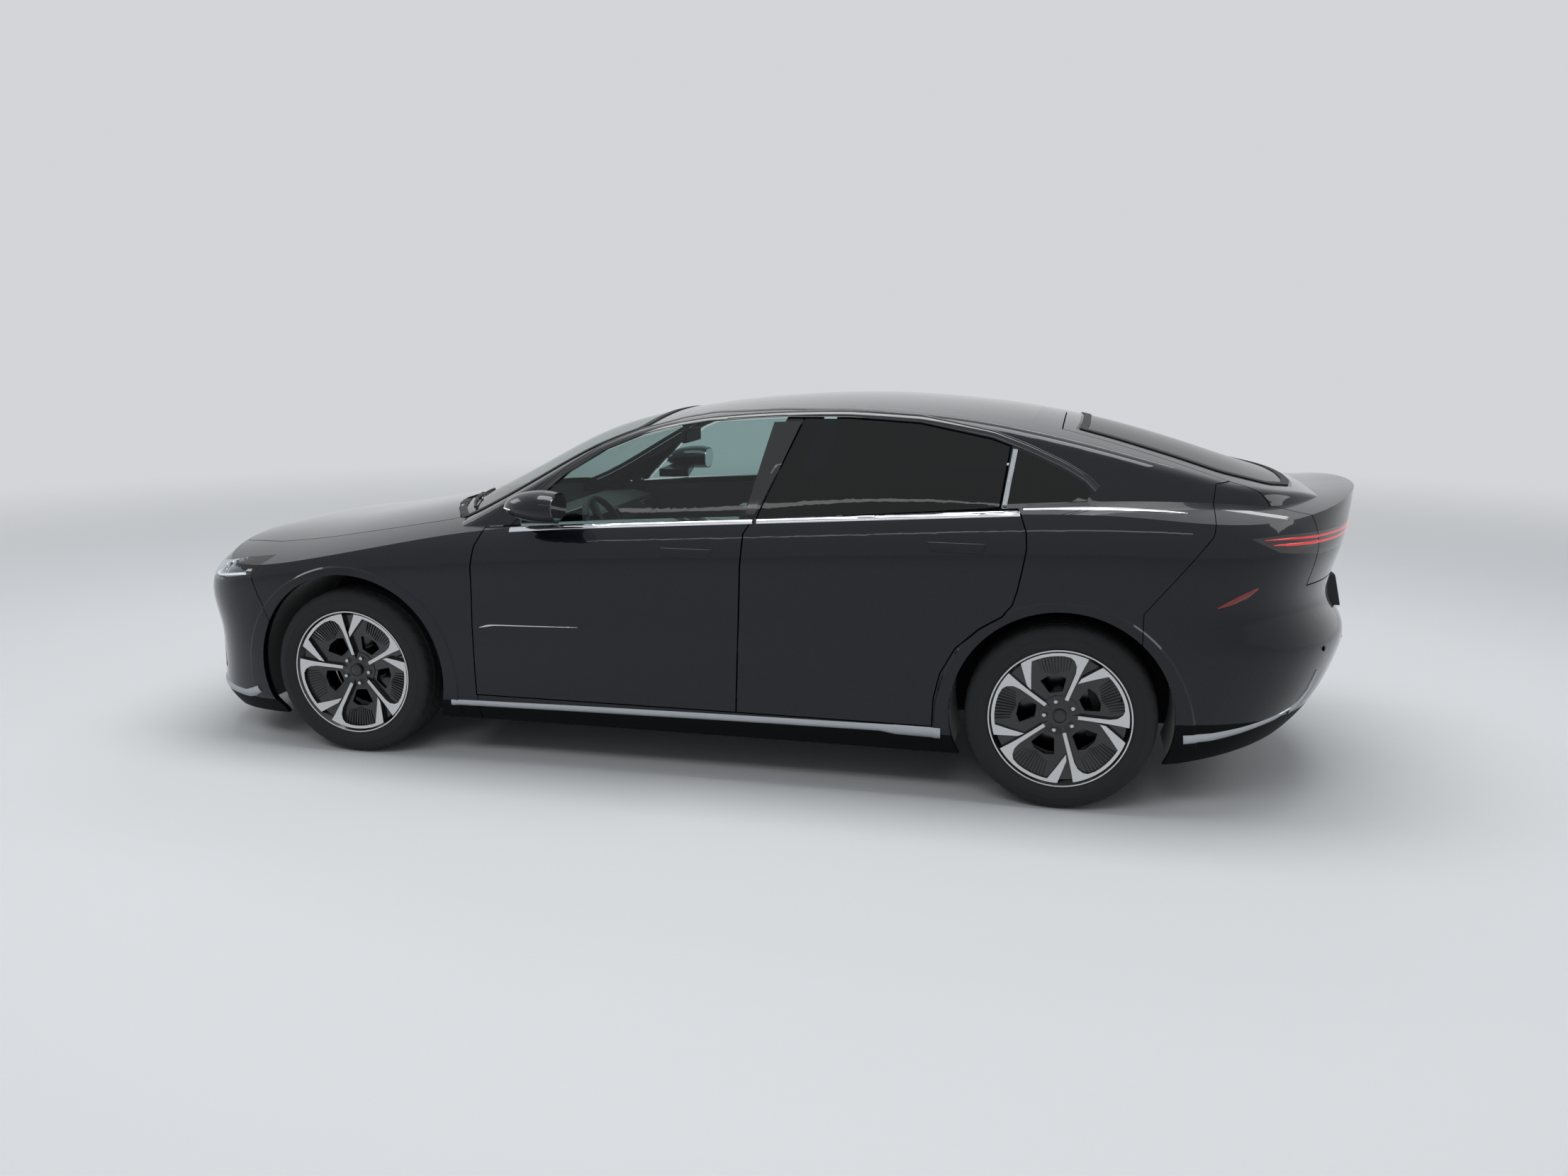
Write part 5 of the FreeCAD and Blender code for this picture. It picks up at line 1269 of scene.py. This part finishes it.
# Camera, floor, light
def studio():
    """Pale floor that runs into a pale backdrop of the same colour, and soft light from above."""
    pale = tone("#d3d5d8")
    size = 90.0
    floor = bpy.data.meshes.new("studio_floor")
    floor.from_pydata([(-size, -size, 0), (size, -size, 0), (size, size, 0), (-size, size, 0)], [], [[0, 1, 2, 3]])
    ground = bpy.data.objects.new("studio_floor", floor)
    bpy.context.scene.collection.objects.link(ground)
    material, tree, shader = finish_of("pale_studio_floor", "#bcbec0", 0.0, 0.75)
    away = add(tree, "ShaderNodeVectorMath", {"Vector": place(tree)}, operation="LENGTH")
    fade = add(tree, "ShaderNodeMapRange", {"Value": away.outputs["Value"]}, interpolation_type="SMOOTHSTEP",
               From_Min=4.0, From_Max=13.0)
    far = add(tree, "ShaderNodeEmission", Color=pale, Strength=1.0)
    both = add(tree, "ShaderNodeMixShader", {0: fade.outputs["Result"], 1: shader.outputs[0], 2: far.outputs[0]})
    tree.links.new(both.outputs[0], tree.nodes["Material Output"].inputs["Surface"])
    floor.materials.append(material)
    world = bpy.data.worlds.new("studio_world")
    world.use_nodes = True
    tree = world.node_tree
    soft = tree.nodes["Background"]
    soft.inputs["Color"].default_value = tone("#dfe3e8")
    soft.inputs["Strength"].default_value = 0.55
    path = add(tree, "ShaderNodeLightPath")
    seen = maths(tree, "MAXIMUM", path.outputs["Is Camera Ray"], path.outputs["Is Transmission Ray"])
    seen = maths(tree, "MAXIMUM", seen, path.outputs["Is Glossy Ray"])
    back = add(tree, "ShaderNodeBackground", Color=pale, Strength=1.0)
    world_mix = add(tree, "ShaderNodeMixShader", {0: seen, 1: soft.outputs[0], 2: back.outputs[0]})
    tree.links.new(world_mix.outputs[0], tree.nodes["World Output"].inputs["Surface"])
    bpy.context.scene.world = world
    lamps = [("top_softbox", (-0.3, 0.0, 7.0), (0, 0, 0), 7.5, 3.2, 420),
             ("side_softbox", (0.8, 6.5, 7.0), (-43, 0, 0), 7.0, 2.0, 190),
             ("far_softbox", (0.5, -6.5, 7.0), (43, 0, 0), 7.0, 2.0, 150),
             ("side_strip", (0.0, 7.6, 6.6), (-49, 0, 0), 9.0, 0.35, 30),
             ("far_strip", (0.0, -7.6, 6.6), (49, 0, 0), 9.0, 0.35, 30),
             ("rear_softbox", (-8.0, 0.5, 5.5), (0, -56, 0), 3.0, 4.0, 110),
             ("front_softbox", (8.5, -0.5, 5.5), (0, 56, 0), 3.0, 4.0, 110)]
    for name, spot, turn, width, depth, power in lamps:
        light = bpy.data.lights.new(name, "AREA")
        light.shape = "RECTANGLE"
        light.size = width
        light.size_y = depth
        light.energy = power
        lamp = bpy.data.objects.new(name, light)
        lamp.location = spot
        lamp.rotation_euler = [math.radians(t) for t in turn]
        lamp.visible_glossy = name not in ("side_softbox", "far_softbox")
        bpy.context.scene.collection.objects.link(lamp)


EYE = (-1.3482, 5.3009, 1.7235)
EYE_TURN = (0.2282, -0.2030, -0.0013)
LENS_MM = 27.957


def camera():
    """The photograph's viewpoint: beside the car's left rear half, a little above the roof."""
    yaw, pitch, roll = EYE_TURN
    forward = Vector((math.sin(yaw) * math.cos(pitch), -math.cos(yaw) * math.cos(pitch), math.sin(pitch)))
    right = Vector((-math.cos(yaw), -math.sin(yaw), 0.0))
    up = right.cross(forward)
    right, up = right * math.cos(roll) + up * math.sin(roll), up * math.cos(roll) - right * math.sin(roll)
    data = bpy.data.cameras.new("camera")
    data.sensor_width = 36.0
    data.lens = LENS_MM
    data.clip_end = 300.0
    made = bpy.data.objects.new("camera", data)
    rows = Matrix((right, up, -forward)).transposed().to_4x4()
    rows.translation = Vector(EYE)
    made.matrix_world = rows
    bpy.context.scene.collection.objects.link(made)
    bpy.context.scene.camera = made


studio()
camera()
bpy.context.scene.view_settings.view_transform = "Standard"
